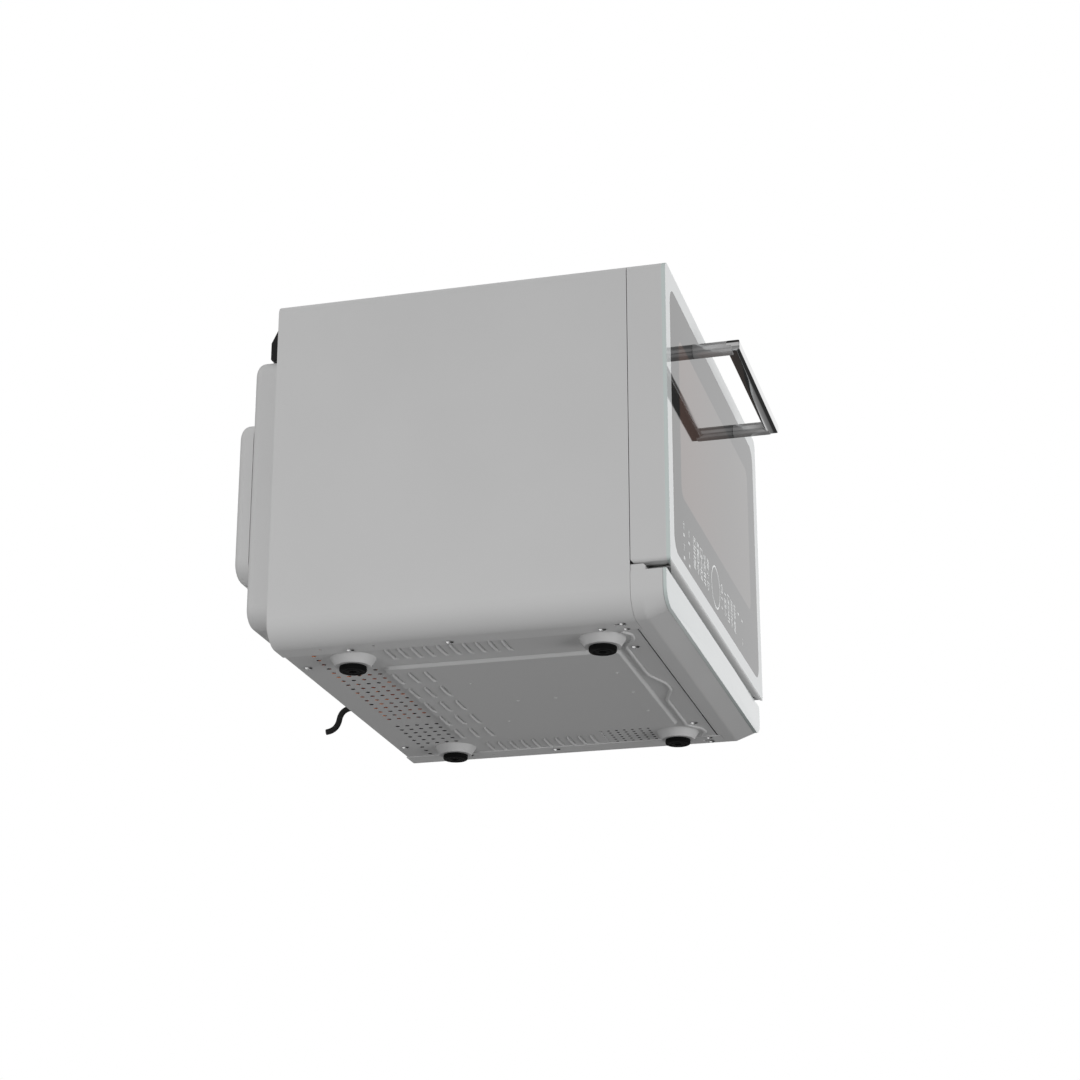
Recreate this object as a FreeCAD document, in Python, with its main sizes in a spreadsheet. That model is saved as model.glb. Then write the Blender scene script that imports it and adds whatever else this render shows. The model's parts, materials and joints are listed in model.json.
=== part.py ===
"""Countertop oven with a drop-down glass door, as a parametric document in millimetres.

Frame: +Z up, +Y to the rear, +X to the right for someone who stands in front of the door.
The origin lies on the table, at the middle of the oven's overall width and depth.
"""
import FreeCAD
import Part
import Sketcher
import math
import os

from FreeCAD import Placement, Rotation, Vector

doc = FreeCAD.newDocument("countertop_oven")
sheet = doc.addObject("Spreadsheet::Sheet", "sizes")


class Size:
    """A number together with the spreadsheet expression that gives it."""

    def __init__(self, value, text):
        self.value = float(value)
        self.text = text

    @staticmethod
    def of(other):
        if isinstance(other, Size):
            return other
        return Size(other, repr(float(other)))

    def __add__(self, other):
        other = Size.of(other)
        return Size(self.value + other.value, f"({self.text} + {other.text})")

    def __sub__(self, other):
        other = Size.of(other)
        return Size(self.value - other.value, f"({self.text} - {other.text})")

    def __mul__(self, other):
        other = Size.of(other)
        return Size(self.value * other.value, f"({self.text} * {other.text})")

    def __truediv__(self, other):
        other = Size.of(other)
        return Size(self.value / other.value, f"({self.text} / {other.text})")

    def __radd__(self, other):
        return Size.of(other) + self

    def __rsub__(self, other):
        return Size.of(other) - self

    def __rmul__(self, other):
        return Size.of(other) * self

    def __neg__(self):
        return Size.of(0) - self

    def __float__(self):
        return self.value


cell_count = 0


def size(alias, value):
    """Write one driving dimension into the next cell of the sheet."""
    global cell_count
    cell_count += 1
    cell = f"A{cell_count}"
    sheet.set(cell, str(value))
    sheet.setAlias(cell, alias)
    return Size(value, f"sizes.{alias}")


# Cabinet: a folded wrap with curled-in bottom lips
width = size("cabinet_width", 500)
height = size("overall_height", 382)
cabinet_depth = size("cabinet_depth", 369.5)
underside = size("underside_height", 13.3)
sheet_metal = size("sheet_thickness", 1.0)
top_radius = size("top_edge_radius", 10)
bottom_radius = size("bottom_edge_radius", 25)
lip_width = size("bottom_lip_width", 48.5)
loose = size("loose_clearance", 0.5)

# Door and handle
door_depth = size("door_depth", 39.3)
door_gap = size("door_gap", 0.7)
door_bottom = size("door_bottom_height", 64.75)
door_corner = size("door_corner_radius", 4)
door_bevel = size("door_rear_bevel", 3)
glass = size("glass_thickness", 4)
window_side_margin = size("window_side_margin", 62)
window_bottom = size("window_bottom_height", 152)
window_top_margin = size("window_top_margin", 60)
pane_margin = size("inner_pane_margin", 8)
retainer_margin = size("retainer_margin", 5)
handle_reach = size("handle_reach", 50)
handle_spacing = size("handle_post_spacing", 224)
handle_below_top = size("handle_below_top", 43)
handle_tall = size("handle_section_height", 18)
handle_bar_depth = size("handle_bar_depth", 10)
post_width = size("handle_post_width", 14)
handle_edge = size("handle_edge_radius", 3)
post_edge = size("handle_post_edge_radius", 5)
screw_radius = size("screw_radius", 2)
screw_head = size("screw_head_radius", 4)

# Hinge in the door's lower corners
hinge_back = size("hinge_axis_behind_front", 12)
hinge_rise = size("hinge_axis_above_bottom", 8)
pin_radius = size("hinge_pin_radius", 3)
running = size("running_clearance", 0.05)
arm_inset = size("hinge_arm_inset", 14)
arm_thickness = size("hinge_arm_thickness", 8)
arm_half_tall = size("hinge_arm_half_height", 6)
arm_clearance = size("hinge_arm_clearance", 1.5)
leaf_thickness = size("hinge_leaf_thickness", 4)
leaf_tall = size("hinge_leaf_height", 34)

# Drip tray under the door
tray_set_back = size("tray_set_back", 4)
tray_front_gap = size("tray_front_gap_to_door", 8.15)
catch_gap = size("catch_gap_to_door", 1.75)
catch_width = size("catch_width", 12)
catch_reach = size("catch_reach", 14.5)
tray_nose = size("tray_nose_height", 17.5)
tray_slope = size("tray_slope_length", 20)
tray_wall = size("tray_wall", 3)
guide_radius = size("tray_guide_radius", 4)
guide_spacing = size("tray_guide_spacing", 300)
guide_length = size("tray_guide_length", 16)
slide_clearance = size("slide_clearance", 0.3)

# Base plate: pressed pan, foot bosses, louvres and perforations
base_setback = size("base_front_setback", 5)
pan_side_margin = size("pan_side_margin", 110)
pan_drop = size("pan_drop", 3.4)
pan_front = size("pan_front_margin", 39)
pan_rear_margin = size("pan_rear_margin", 87.5)
pan_corner = size("pan_corner_radius", 6)
foot_side_margin = size("foot_side_margin", 72.3)
foot_front_margin = size("foot_front_margin", 44.5)
foot_rear_margin = size("foot_rear_margin", 66.4)
boss_gap = size("boss_gap_to_lip", 0.3)
boss_tip = size("boss_tip_radius", 18)
foot_radius = size("foot_radius", 14)
foot_height = size("foot_height", 5.5)
hole_radius = size("perforation_radius", 2.6)
hole_pitch_x = size("perforation_pitch_across", 15)
hole_pitch_y = size("perforation_pitch_along", 11.25)
hole_edge = size("perforation_rear_margin", 30.5)
patch_pitch_x = size("vent_patch_pitch_across", 8.8)
patch_pitch_y = size("vent_patch_pitch_along", 9)
louvre_length = size("louvre_length", 37)
louvre_slot = size("louvre_slot_width", 4)
louvre_drop = size("louvre_drop", 2.2)
louvre_end = size("louvre_end_slope", 4)
louvre_pitch = size("louvre_pitch", 13.4)
louvre_rear_gap = size("louvre_gap_to_boss", 18.6)
lip_screw_front = size("lip_screw_front_margin", 37)
lip_screw_middle = size("lip_screw_middle_margin", 192)
lip_screw_rear = size("lip_screw_rear_margin", 74.5)
lip_slot_front = size("lip_slot_front_margin", 17.5)
lip_slot_length = size("lip_slot_length", 12)
lip_hole_near = size("lip_hole_near_margin", 44.5)
lip_hole_far = size("lip_hole_far_margin", 100.5)
front_screw_x = size("front_screw_offset", 144)
rear_screw_x = size("rear_screw_offset", 160)
pan_louvre_pitch_x = size("pan_louvre_pitch_across", 54.5)
pan_louvre_pitch_y = size("pan_louvre_pitch_along", 17.2)
bead_radius = size("bead_radius", 1.9)
bead_gap = size("bead_gap_to_pan", 10)
bead_bow = size("bead_bow", 12)

# Oven cavity and what stands round it
frame_setback = size("front_frame_setback", 6.5)
frame_sheet = size("front_frame_thickness", 1.5)
side_space = size("space_beside_cavity", 55)
rear_space = size("space_behind_cavity", 37.5)
top_space = size("space_above_cavity", 44)
cavity_floor = size("cavity_floor_height", 140)
cavity_corner = size("cavity_corner_radius", 10)
insulation_thickness = size("insulation_thickness", 18)
gasket_width = size("gasket_width", 10)
runner_rear = size("runner_rear_margin", 47)
runner_front = size("runner_front_margin", 12)
runner_low = size("runner_low_margin", 20)
runner_high = size("runner_high_margin", 68)
ledge_reach = size("ledge_reach", 12)
rack_rod = size("rack_rod_radius", 1.5)
rack_rail = size("rack_rail_radius", 2.5)
rack_rods = size("rack_rod_count", 15)
heater_radius = size("heater_tube_radius", 3.25)
heater_pitch = size("heater_pitch", 50)
heater_runs = size("heater_run_count", 6)
heater_gap = size("heater_wall_gap", 12)

# Circulation fan
wheel_radius = size("fan_wheel_radius", 56)
wheel_width = size("fan_wheel_width", 16)
wheel_blades = size("fan_blade_count", 12)
hub_radius = size("fan_hub_radius", 10)
shaft_radius = size("fan_shaft_radius", 4)
baffle_depth = size("fan_chamber_depth", 36)
baffle_gap = size("fan_baffle_gap", 3.75)
baffle_floor_gap = size("fan_baffle_floor_gap", 2)
baffle_side = size("fan_baffle_side_width", 32)
ring_gap = size("ring_heater_gap", 10)
motor_radius = size("motor_radius", 30)
motor_rear_gap = size("motor_rear_clearance", 5.3)
motor_cap = size("motor_cap_length", 4)

# Rear covers, vent and cord
rear_cover_depth = size("rear_cover_depth", 28.3)
rear_cover_inset = size("rear_cover_inset", 10)
rear_cover_bottom = size("rear_cover_bottom", 37)
rear_cover_top_margin = size("rear_cover_top_margin", 53.5)
motor_cover_depth = size("motor_cover_depth", 16.7)
motor_cover_inset = size("motor_cover_inset", 15)
motor_cover_bottom = size("motor_cover_bottom", 89)
motor_cover_rise = size("motor_cover_above_axis", 47)
cover_corner = size("cover_corner_radius", 20)
cover_edge = size("cover_edge_radius", 8)
vent_width = size("vent_width", 120)
vent_depth = size("vent_depth", 14)
vent_inset = size("vent_inset", 18)
vent_top_margin = size("vent_top_margin", 20)
vent_tall = size("vent_height", 32.5)
cord_radius = size("cord_radius", 3.2)
cord_side = size("cord_side_offset", 40)
gland_height = size("gland_height", 29)
gland_length = size("gland_length", 9)

# Places that several pieces share
half = width / 2
total_depth = (handle_reach + door_depth + door_gap + cabinet_depth
               + rear_cover_depth + motor_cover_depth)
front = handle_reach - total_depth / 2
glass_back = front + glass
door_back = front + door_depth
wrap_front = door_back + door_gap
wrap_rear = wrap_front + cabinet_depth
inside = half - sheet_metal
plate_low = underside + sheet_metal
plate_high = plate_low + sheet_metal
base_front = wrap_front + base_setback
frame_front = wrap_front + frame_setback
frame_back = frame_front + frame_sheet
cavity_half = half - side_space
cavity_top = height - top_space
liner_back = wrap_rear - rear_space
hinge_y = front + hinge_back
hinge_z = door_bottom + hinge_rise
lip_inner = half - lip_width
pan_half = half - pan_side_margin
pan_low = plate_low - pan_drop
pan_y = (wrap_front + pan_front, wrap_rear - pan_rear_margin)
pan_length = pan_y[1] - pan_y[0]
foot_x = half - foot_side_margin
foot_rows = (wrap_front + foot_front_margin, wrap_rear - foot_rear_margin)
boss_radius = lip_inner - foot_x - boss_gap
feet_places = [(side * foot_x, y) for side in (-1, 1) for y in foot_rows]
handle_x = handle_spacing / 2
handle_height = height - handle_below_top
handle_z = (handle_height - handle_tall / 2, handle_height + handle_tall / 2)
bar_back = front - handle_reach + handle_bar_depth
cover_y = (wrap_rear, wrap_rear + rear_cover_depth)
motor_cover_y = (cover_y[1], cover_y[1] + motor_cover_depth)
ring_radius = wheel_radius + ring_gap
baffle_half_tall = ring_radius + heater_radius + baffle_gap
baffle_half_wide = baffle_half_tall + baffle_side
fan_height = cavity_floor + baffle_floor_gap + baffle_half_tall
motor_front = liner_back + sheet_metal
motor_length = motor_cover_y[1] - sheet_metal - motor_rear_gap - motor_cap - motor_front
motor_cover_top = fan_height + motor_cover_rise
rear_cover_top = height - rear_cover_top_margin
vent_top = height - vent_top_margin
vent_bottom = vent_top - vent_tall
tray_top = door_bottom - tray_front_gap
catch_top = door_bottom - catch_gap

AXIS_TURN = {
    "x": Rotation(Vector(0, 1, 0), 90),
    "y": Rotation(Vector(1, 0, 0), -90),
    "z": Rotation(),
}
doc.recompute()


# Small builders that bind each object's sizes to the sheet
def bind(feature, prop, value):
    feature.setExpression(prop, Size.of(value).text)


def place(feature, point):
    for axis, value in zip("xyz", point):
        bind(feature, f"Placement.Base.{axis}", value)


def around(half_size, centre=0):
    """The low and high end of a span that is centred on a place."""
    return (centre - half_size, centre + half_size)


def mirrored(side, near, far):
    """A span on the right of the middle plane, or its mirror image on the left."""
    return (near, far) if side > 0 else (-far, -near)


def box(name, x, y, z):
    """A block between two corners, each given as a span along X, Y and Z."""
    block = doc.addObject("Part::Box", name)
    for prop, (low, high) in zip(("Length", "Width", "Height"), (x, y, z)):
        bind(block, prop, Size.of(high) - low)
    place(block, (x[0], y[0], z[0]))
    return block


def cylinder(name, axis, radius, start, length):
    rod = doc.addObject("Part::Cylinder", name)
    rod.Placement = Placement(Vector(), AXIS_TURN[axis])
    bind(rod, "Radius", radius)
    bind(rod, "Height", length)
    place(rod, start)
    return rod


def cone(name, axis, radius_start, radius_end, start, length):
    taper = doc.addObject("Part::Cone", name)
    taper.Placement = Placement(Vector(), AXIS_TURN[axis])
    bind(taper, "Radius1", radius_start)
    bind(taper, "Radius2", radius_end)
    bind(taper, "Height", length)
    place(taper, start)
    return taper


def fuse(name, *pieces):
    joined = doc.addObject("Part::MultiFuse", name)
    joined.Shapes = list(pieces)
    return joined


def group(name, *pieces):
    together = doc.addObject("Part::Compound", name)
    together.Links = list(pieces)
    return together


def cut(name, base, *tools):
    """The base less its tools, which don't overlap each other."""
    result = doc.addObject("Part::Cut", name)
    result.Base = base
    result.Tool = tools[0] if len(tools) == 1 else group(f"{name}_tools", *tools)
    return result


def common(name, first, second):
    result = doc.addObject("Part::MultiCommon", name)
    result.Shapes = [first, second]
    return result


def shaped(name, shape):
    """An object whose shape is worked out here, for patterns and bent tubes."""
    feature = doc.addObject("Part::Feature", name)
    feature.Shape = shape
    return feature


PLANE_ROLE = {"x": "YZ_Plane", "y": "XZ_Plane", "z": "XY_Plane"}


def padded_profile(name, axis, points, start, end):
    """A body whose straight-sided profile is padded along one axis, from start to end.

    The points are in the plane's own order: Y Z along x, X Z along y and X Y along z."""
    body = doc.addObject("PartDesign::Body", name)
    sketch = body.newObject("Sketcher::SketchObject", f"{name}_profile")
    plane = [f for f in body.Origin.OriginFeatures if f.Role == PLANE_ROLE[axis]][0]
    sketch.AttachmentSupport = [(plane, "")]
    sketch.MapMode = "FlatFace"
    faces_back = axis == "y"
    bind(sketch, "AttachmentOffset.Base.z", -Size.of(start) if faces_back else start)
    corners = [Vector(float(a), float(b), 0) for a, b in points]
    for index, corner in enumerate(corners):
        sketch.addGeometry(Part.LineSegment(corner, corners[(index + 1) % len(corners)]))
    for index in range(len(corners)):
        following = (index + 1) % len(corners)
        sketch.addConstraint(Sketcher.Constraint("Coincident", index, 2, following, 1))
    for index, (across, up) in enumerate(points):
        for kind, value in (("DistanceX", across), ("DistanceY", up)):
            number = sketch.addConstraint(
                Sketcher.Constraint(kind, -1, 1, index, 1, float(value)))
            bind(sketch, f"Constraints[{number}]", value)
    pad = body.newObject("PartDesign::Pad", f"{name}_pad")
    pad.Profile = sketch
    pad.Reversed = faces_back
    bind(pad, "Length", Size.of(end) - start)
    doc.recompute()
    return body


def rectangle(x, z):
    return [(x[0], z[0]), (x[1], z[0]), (x[1], z[1]), (x[0], z[1])]


def edge_names(shape, axis, chosen):
    """Straight edges along an axis whose middle point passes the given test."""
    names = []
    for number, edge in enumerate(shape.Edges, 1):
        ends = [vertex.Point for vertex in edge.Vertexes]
        if len(ends) < 2:
            continue
        run = ends[1] - ends[0]
        off_axis = [abs(getattr(run, other)) for other in "xyz" if other != axis]
        if max(off_axis) < 1e-6 and chosen((ends[0] + ends[1]) / 2):
            names.append(f"Edge{number}")
    return names


def rounded(body, radius, names):
    fillet = body.newObject("PartDesign::Fillet", f"{body.Name}_fillet")
    fillet.Base = (body.Tip if body.Tip != fillet else fillet.BaseFeature, names)
    bind(fillet, "Radius", radius)
    body.Tip = fillet
    doc.recompute()
    return body


def round_edges(body, axis, radius, chosen=lambda middle: True):
    return rounded(body, radius, edge_names(body.Shape, axis, chosen))


def rounded_block(name, axis, across, up, along, radius):
    """A block padded along one axis, with its four long edges rounded alike."""
    body = padded_profile(name, axis, rectangle(across, up), along[0], along[1])
    return round_edges(body, axis, radius)


def face_edges(shape, axis, place_at):
    """All edges that lie in the plane at one place along an axis."""
    names = []
    for number, edge in enumerate(shape.Edges, 1):
        bounds = edge.BoundBox
        low, high = getattr(bounds, f"{axis.upper()}Min"), getattr(bounds, f"{axis.upper()}Max")
        if abs(low - place_at) < 1e-4 and abs(high - place_at) < 1e-4:
            names.append(f"Edge{number}")
    return names


def shelled(body, wall, axis, open_at):
    """Hollow a body to a wall, open on the flat face at one place along an axis."""
    names = []
    for number, face in enumerate(body.Shape.Faces, 1):
        centre = getattr(face.CenterOfMass, axis)
        if abs(centre - open_at) < 1e-4 and face.Surface.TypeId == "Part::GeomPlane":
            names.append(f"Face{number}")
    hollow = body.newObject("PartDesign::Thickness", f"{body.Name}_wall")
    hollow.Base = (hollow.BaseFeature, names)
    hollow.Reversed = True
    bind(hollow, "Value", wall)
    body.Tip = hollow
    doc.recompute()
    return body


def bent_wire(points, radii):
    """Straight runs through the points, joined by a tangent arc at each inner point."""
    corners = [Vector(*map(float, point)) for point in points]
    edges = []
    last = corners[0]
    for index in range(1, len(corners) - 1):
        before = (corners[index - 1] - corners[index]).normalize()
        after = (corners[index + 1] - corners[index]).normalize()
        half_angle = before.getAngle(after) / 2
        setback = radii[index - 1] / math.tan(half_angle)
        begin = corners[index] + before * setback
        end = corners[index] + after * setback
        bisector = (before + after).normalize()
        reach = radii[index - 1] / math.sin(half_angle) - radii[index - 1]
        edges.append(Part.LineSegment(last, begin).toShape())
        edges.append(Part.Arc(begin, corners[index] + bisector * reach, end).toShape())
        last = end
    edges.append(Part.LineSegment(last, corners[-1]).toShape())
    return Part.Wire([edge for edge in edges if edge.Length > 1e-6])


def tube(points, radii, tube_radius):
    """A round bar bent along a path of runs and arcs."""
    path = bent_wire(points, radii)
    start = path.Edges[0]
    direction = start.tangentAt(start.FirstParameter)
    section = Part.Wire(Part.makeCircle(float(tube_radius), start.valueAt(start.FirstParameter),
                                        direction))
    return path.makePipeShell([section], True, False)


def hexagon(radius, x, y, z):
    """An upright hexagonal punch through a level sheet that spans z."""
    corners = [Vector(x + radius * math.cos(math.radians(60 * k)),
                      y + radius * math.sin(math.radians(60 * k)), z[0]) for k in range(7)]
    return Part.Face(Part.makePolygon(corners)).extrude(Vector(0, 0, z[1] - z[0]))


# Cabinet shell
def outer_wrap(screw_holes):
    """Folded sheet: two sides, a top and two lips that curl under the base plate."""
    ring = [(-lip_inner, underside), (-half, underside), (-half, height), (half, height),
            (half, underside), (lip_inner, underside), (lip_inner, plate_low),
            (inside, plate_low), (inside, height - sheet_metal), (-inside, height - sheet_metal),
            (-inside, plate_low), (-lip_inner, plate_low)]
    body = padded_profile("wrap_blank", "y", ring, wrap_front, wrap_rear)
    middle_z = float(height) / 2
    outer = float(half) - 1e-3
    mid_wall = float(inside) - 1e-3
    corner_sets = (
        (top_radius, lambda p: p.z > middle_z and abs(p.x) > outer),
        (top_radius - sheet_metal, lambda p: p.z > middle_z and mid_wall < abs(p.x) < outer),
        (bottom_radius, lambda p: p.z < middle_z and abs(p.x) > outer),
        (bottom_radius - sheet_metal, lambda p: p.z < middle_z and mid_wall < abs(p.x) < outer))
    for radius, chosen in corner_sets:
        round_edges(body, "y", radius, chosen)
    return cut("outer_wrap", body, screw_holes)


def screw_places():
    """Base screws: (x, y, underside of the sheet that the head bears on)."""
    lip_x = half - lip_width + screw_head * 2
    along = (wrap_front + lip_screw_front, wrap_front + lip_screw_middle, wrap_rear - lip_screw_rear)
    lips = [(side * lip_x, y, underside) for side in (-1, 1) for y in along]
    front_row = [(side * front_screw_x, base_front + screw_head * 3.5, plate_low) for side in (-1, 1)]
    rear_row = [(side * rear_screw_x, wrap_rear - screw_head * 3, plate_low) for side in (-1, 1)]
    return lips + front_row + rear_row


def base_screws():
    """Pan-head screws that hold the base plate, as one group of separate solids."""
    solids = []
    for number, (x, y, bearing) in enumerate(screw_places()):
        head = cone(f"screw_head_{number}", "z", screw_head * 0.6, screw_head,
                    (x, y, bearing - screw_head / 2), screw_head / 2)
        shank = cylinder(f"screw_shank_{number}", "z", screw_radius,
                         (x, y, bearing), sheet_metal * 6)
        solids.append(fuse(f"screw_{number}", head, shank))
    return group("base_screws", *solids)


def screw_holes(name):
    """Screw holes through lips and plate, with the lips' bare holes and front slots."""
    places = [(x, y) for x, y, bearing in screw_places()]
    hole_x = half - lip_width + screw_head * 3.5
    for side in (-1, 1):
        places += [(side * hole_x, wrap_rear - lip_hole_near), (side * hole_x, wrap_rear - lip_hole_far)]
    through = (underside - sheet_metal, underside + sheet_metal * 3)
    holes = [cylinder(f"{name}_{number}", "z", screw_radius + running, (x, y, through[0]),
                      through[1] - through[0])
             for number, (x, y) in enumerate(places)]
    slot_x = hole_x + screw_radius
    for side in (-1, 1):
        tag = "right" if side > 0 else "left"
        holes.append(rounded_block(
            f"{name}_slot_{tag}", "z", around(screw_radius * 1.2, side * slot_x),
            around(lip_slot_length / 2, wrap_front + lip_slot_front), through, screw_radius))
    return group(name, *holes)


def louvre_rows():
    """Louvre centres: (x, y, underside of the sheet there)."""
    strip_x = lip_inner - louvre_length / 2 - loose
    strip_end = foot_rows[1] - boss_radius - louvre_rear_gap
    strips = [(side * strip_x, strip_end - louvre_pitch * k, plate_low)
              for side in (-1, 1) for k in range(10)]
    field_y = pan_y[1] - pan_louvre_pitch_y * 2.3
    field = [(pan_louvre_pitch_x * column, field_y + pan_louvre_pitch_y * row, pan_low)
             for column in range(-2, 3) for row in range(3)]
    return [tuple(map(float, place_at)) for place_at in strips + field]


def louvre_slots():
    """Slots under the scoops, shorter than them by a sheet's thickness at each end."""
    slot, sheet_t = float(louvre_slot), float(sheet_metal)
    length = float(louvre_length) - 2 * sheet_t
    return [Part.makeBox(length, slot, 3 * sheet_t, Vector(x - length / 2, y - slot / 2, z - sheet_t))
            for x, y, z in louvre_rows()]


def louvre_scoops():
    """Lanced scoops pressed into the oven: each rises from its front edge and both ends, open behind."""
    length, slot, drop = float(louvre_length), float(louvre_slot), float(louvre_drop)
    sheet_t, slope = float(sheet_metal), float(louvre_end)
    root, tip, high = slot / 2 + sheet_t, -slot / 2, 0.9 * sheet_t
    side_view = [(root, high), (root, 0), (tip, -drop), (tip, high)]
    front_view = [(-length / 2, high), (-length / 2, 0), (slope - length / 2, -drop),
                  (length / 2 - slope, -drop), (length / 2, 0), (length / 2, high)]
    along = [Vector(-length / 2, a, b) for a, b in side_view + side_view[:1]]
    across = [Vector(a, tip, b) for a, b in front_view + front_view[:1]]
    wedge = Part.Face(Part.makePolygon(along)).extrude(Vector(length, 0, 0))
    solid = wedge.common(Part.Face(Part.makePolygon(across)).extrude(Vector(0, root - tip, 0)))
    scoop = solid.cut(solid.translated(Vector(0, -sheet_t / 3, 1.1 * sheet_t)))
    scoop.rotate(Vector(0, 0, sheet_t / 2), Vector(1, 0, 0), 180)
    return [scoop.translated(Vector(*place_at)) for place_at in louvre_rows()]


def perforations():
    """Hexagonal punches: a field along the rear and a small patch at the front right."""
    radius = float(hole_radius)
    through = (float(plate_low - sheet_metal), float(plate_high + sheet_metal))
    pitch_x, pitch_y = float(hole_pitch_x), float(hole_pitch_y)
    rear_row = float(wrap_rear - hole_edge)
    field_half = int(float(lip_inner - hole_radius) / pitch_x)
    inner_half = int(float(foot_x - boss_radius - hole_radius) / pitch_x)
    solid_column = 4
    punches = []
    for row in range(5):
        reach = field_half if row == 0 else inner_half
        for column in range(-reach, reach + 1):
            if column != solid_column:
                punches.append(hexagon(radius, column * pitch_x, rear_row - row * pitch_y, through))
    across, along = float(patch_pitch_x), float(patch_pitch_y)
    patch_x = float(lip_inner) - radius - 1 - 5 * across
    patch_y = float(foot_rows[0] + boss_radius) + 2 * radius
    for column in range(6):
        for row in range(7):
            place_at = (patch_x + column * across, patch_y + row * along)
            punches.append(hexagon(radius * 0.72, *place_at, through))
    return punches


def front_bead():
    """Pressed bead along the front edge: round both bosses and in a bow at the middle."""
    far = float(pan_y[0] - bead_gap)
    bow = far - float(bead_bow)
    side, wide = float(foot_x), float(bead_bow) * 4
    right = [(wide / 4, bow), (wide, far), (side - 28, far), (side - 10, bow - 1.5), (side + 7, bow - 3),
             (side + 17, bow + 4)]
    left = [(-x, y) for x, y in reversed(right)]
    radii = [12, 16, 20, 50, 40]
    level = float(plate_low)
    return tube([(x, y, level) for x, y in left + right], radii + radii[::-1], bead_radius)


def base_plate(holes):
    """Stamped plate: sunk pan, hollow foot bosses, bead, louvres and perforations."""
    across = around(half - bottom_radius - loose * 2)
    along = (base_front, wrap_rear - sheet_metal)
    flat = box("plate_flat", across, along, (plate_low, plate_high))
    pan = rounded_block("pan_press", "z", around(pan_half), pan_y, (pan_low, plate_high), pan_corner)
    pan_inside = rounded_block("pan_hollow", "z", around(pan_half - sheet_metal),
                               (pan_y[0] + sheet_metal, pan_y[1] - sheet_metal),
                               (pan_low + sheet_metal, plate_high + sheet_metal),
                               pan_corner - sheet_metal)
    bosses, hollows = [], []
    wall = sheet_metal * 1.2
    for number, (x, y) in enumerate(feet_places):
        drop = plate_low - foot_height
        bosses.append(cone(f"boss_{number}", "z", boss_tip, boss_radius, (x, y, foot_height), drop))
        hollows.append(cone(f"boss_hollow_{number}", "z", boss_tip - wall, boss_radius,
                            (x, y, foot_height + sheet_metal), drop))
    pressed = fuse("plate_pressed", flat, pan, *bosses)
    punches = shaped("plate_punches", Part.makeCompound(perforations() + louvre_slots()))
    sunk = cut("plate_sunk", pressed, pan_inside, *hollows)
    punched = cut("plate_punched", cut("plate_drilled", sunk, holes), punches)
    scoops = shaped("plate_scoops", Part.makeCompound(louvre_scoops()))
    return fuse("base_plate", punched, scoops, shaped("plate_bead", front_bead()))


def feet():
    """Four rubber feet under the bosses, as one group of separate solids."""
    cones = [cone(f"foot_{number}", "z", foot_radius * 0.94, foot_radius, (x, y, 0), foot_height)
             for number, (x, y) in enumerate(feet_places)]
    return group("feet", *cones)


def inner_plate(name, y, floor):
    """A plate that closes the wrap across, with corners that follow its inside."""
    gap = loose
    body = padded_profile(name, "y", rectangle(around(inside - gap), (floor, height - sheet_metal - gap)),
                          y[0], y[1])
    middle = float(height) / 2
    round_edges(body, "y", top_radius - sheet_metal, lambda p: p.z > middle)
    return round_edges(body, "y", bottom_radius, lambda p: p.z < middle)


def front_frame():
    """Plate behind the door, with the mouth of the cavity."""
    blank = inner_plate("frame_blank", (frame_front, frame_back), plate_high)
    mouth = rounded_block("frame_mouth", "y", around(cavity_half), (cavity_floor, cavity_top),
                          (frame_front - loose, frame_back + loose), cavity_corner)
    return cut("front_frame", blank, mouth)


def rear_panel():
    blank = inner_plate("rear_blank", (wrap_rear - sheet_metal, wrap_rear), plate_high)
    motor_hole = cylinder("rear_motor_hole", "y", motor_radius + loose * 10,
                          (0, wrap_rear - sheet_metal * 2, fan_height), sheet_metal * 3)
    gland_hole = cylinder("rear_gland_hole", "y", cord_radius * 1.8,
                          (cord_side, wrap_rear - sheet_metal * 2, gland_height), sheet_metal * 3)
    return cut("rear_panel", blank, motor_hole, gland_hole)


def drawn_cover(name, x, z, y):
    """Deep-drawn sheet cover: rounded corners and rear edge, open to the front."""
    body = rounded_block(name, "y", x, z, y, cover_corner)
    rounded(body, cover_edge, face_edges(body.Shape, "y", float(y[1])))
    return shelled(body, sheet_metal, "y", float(y[0]))


def rear_cover():
    """Wide cover over the fan chamber, with a hole for the motor and cooling slots."""
    shell = drawn_cover("rear_cover_shell", around(half - rear_cover_inset),
                        (rear_cover_bottom, rear_cover_top), cover_y)
    through = (cover_y[1] - sheet_metal * 2, sheet_metal * 3)
    motor_hole = cylinder("cover_motor_hole", "y", motor_radius + loose * 10,
                          (0, through[0], fan_height), through[1])
    slots = []
    for number in range(-5, 6):
        x = around(cover_edge, cover_corner * 2 * number)
        slots.append(box(f"cover_slot_{number + 5}", x, (through[0], through[0] + through[1]),
                         around(sheet_metal * 2, rear_cover_top - cover_corner * 1.8)))
    return cut("rear_cover", shell, motor_hole, *slots)


def motor_cover():
    shell = drawn_cover("motor_cover_shell", around(half - motor_cover_inset),
                        (motor_cover_bottom, motor_cover_top), motor_cover_y)
    rear = motor_cover_y[1]
    slots = [box(f"motor_slot_{number + 4}", around(cover_edge, cover_corner * 2 * number),
                 (rear - sheet_metal * 2, rear + sheet_metal),
                 around(sheet_metal * 2, motor_cover_bottom + cover_corner * 1.8))
             for number in range(-4, 5)]
    return cut("motor_cover", shell, *slots)


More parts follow.
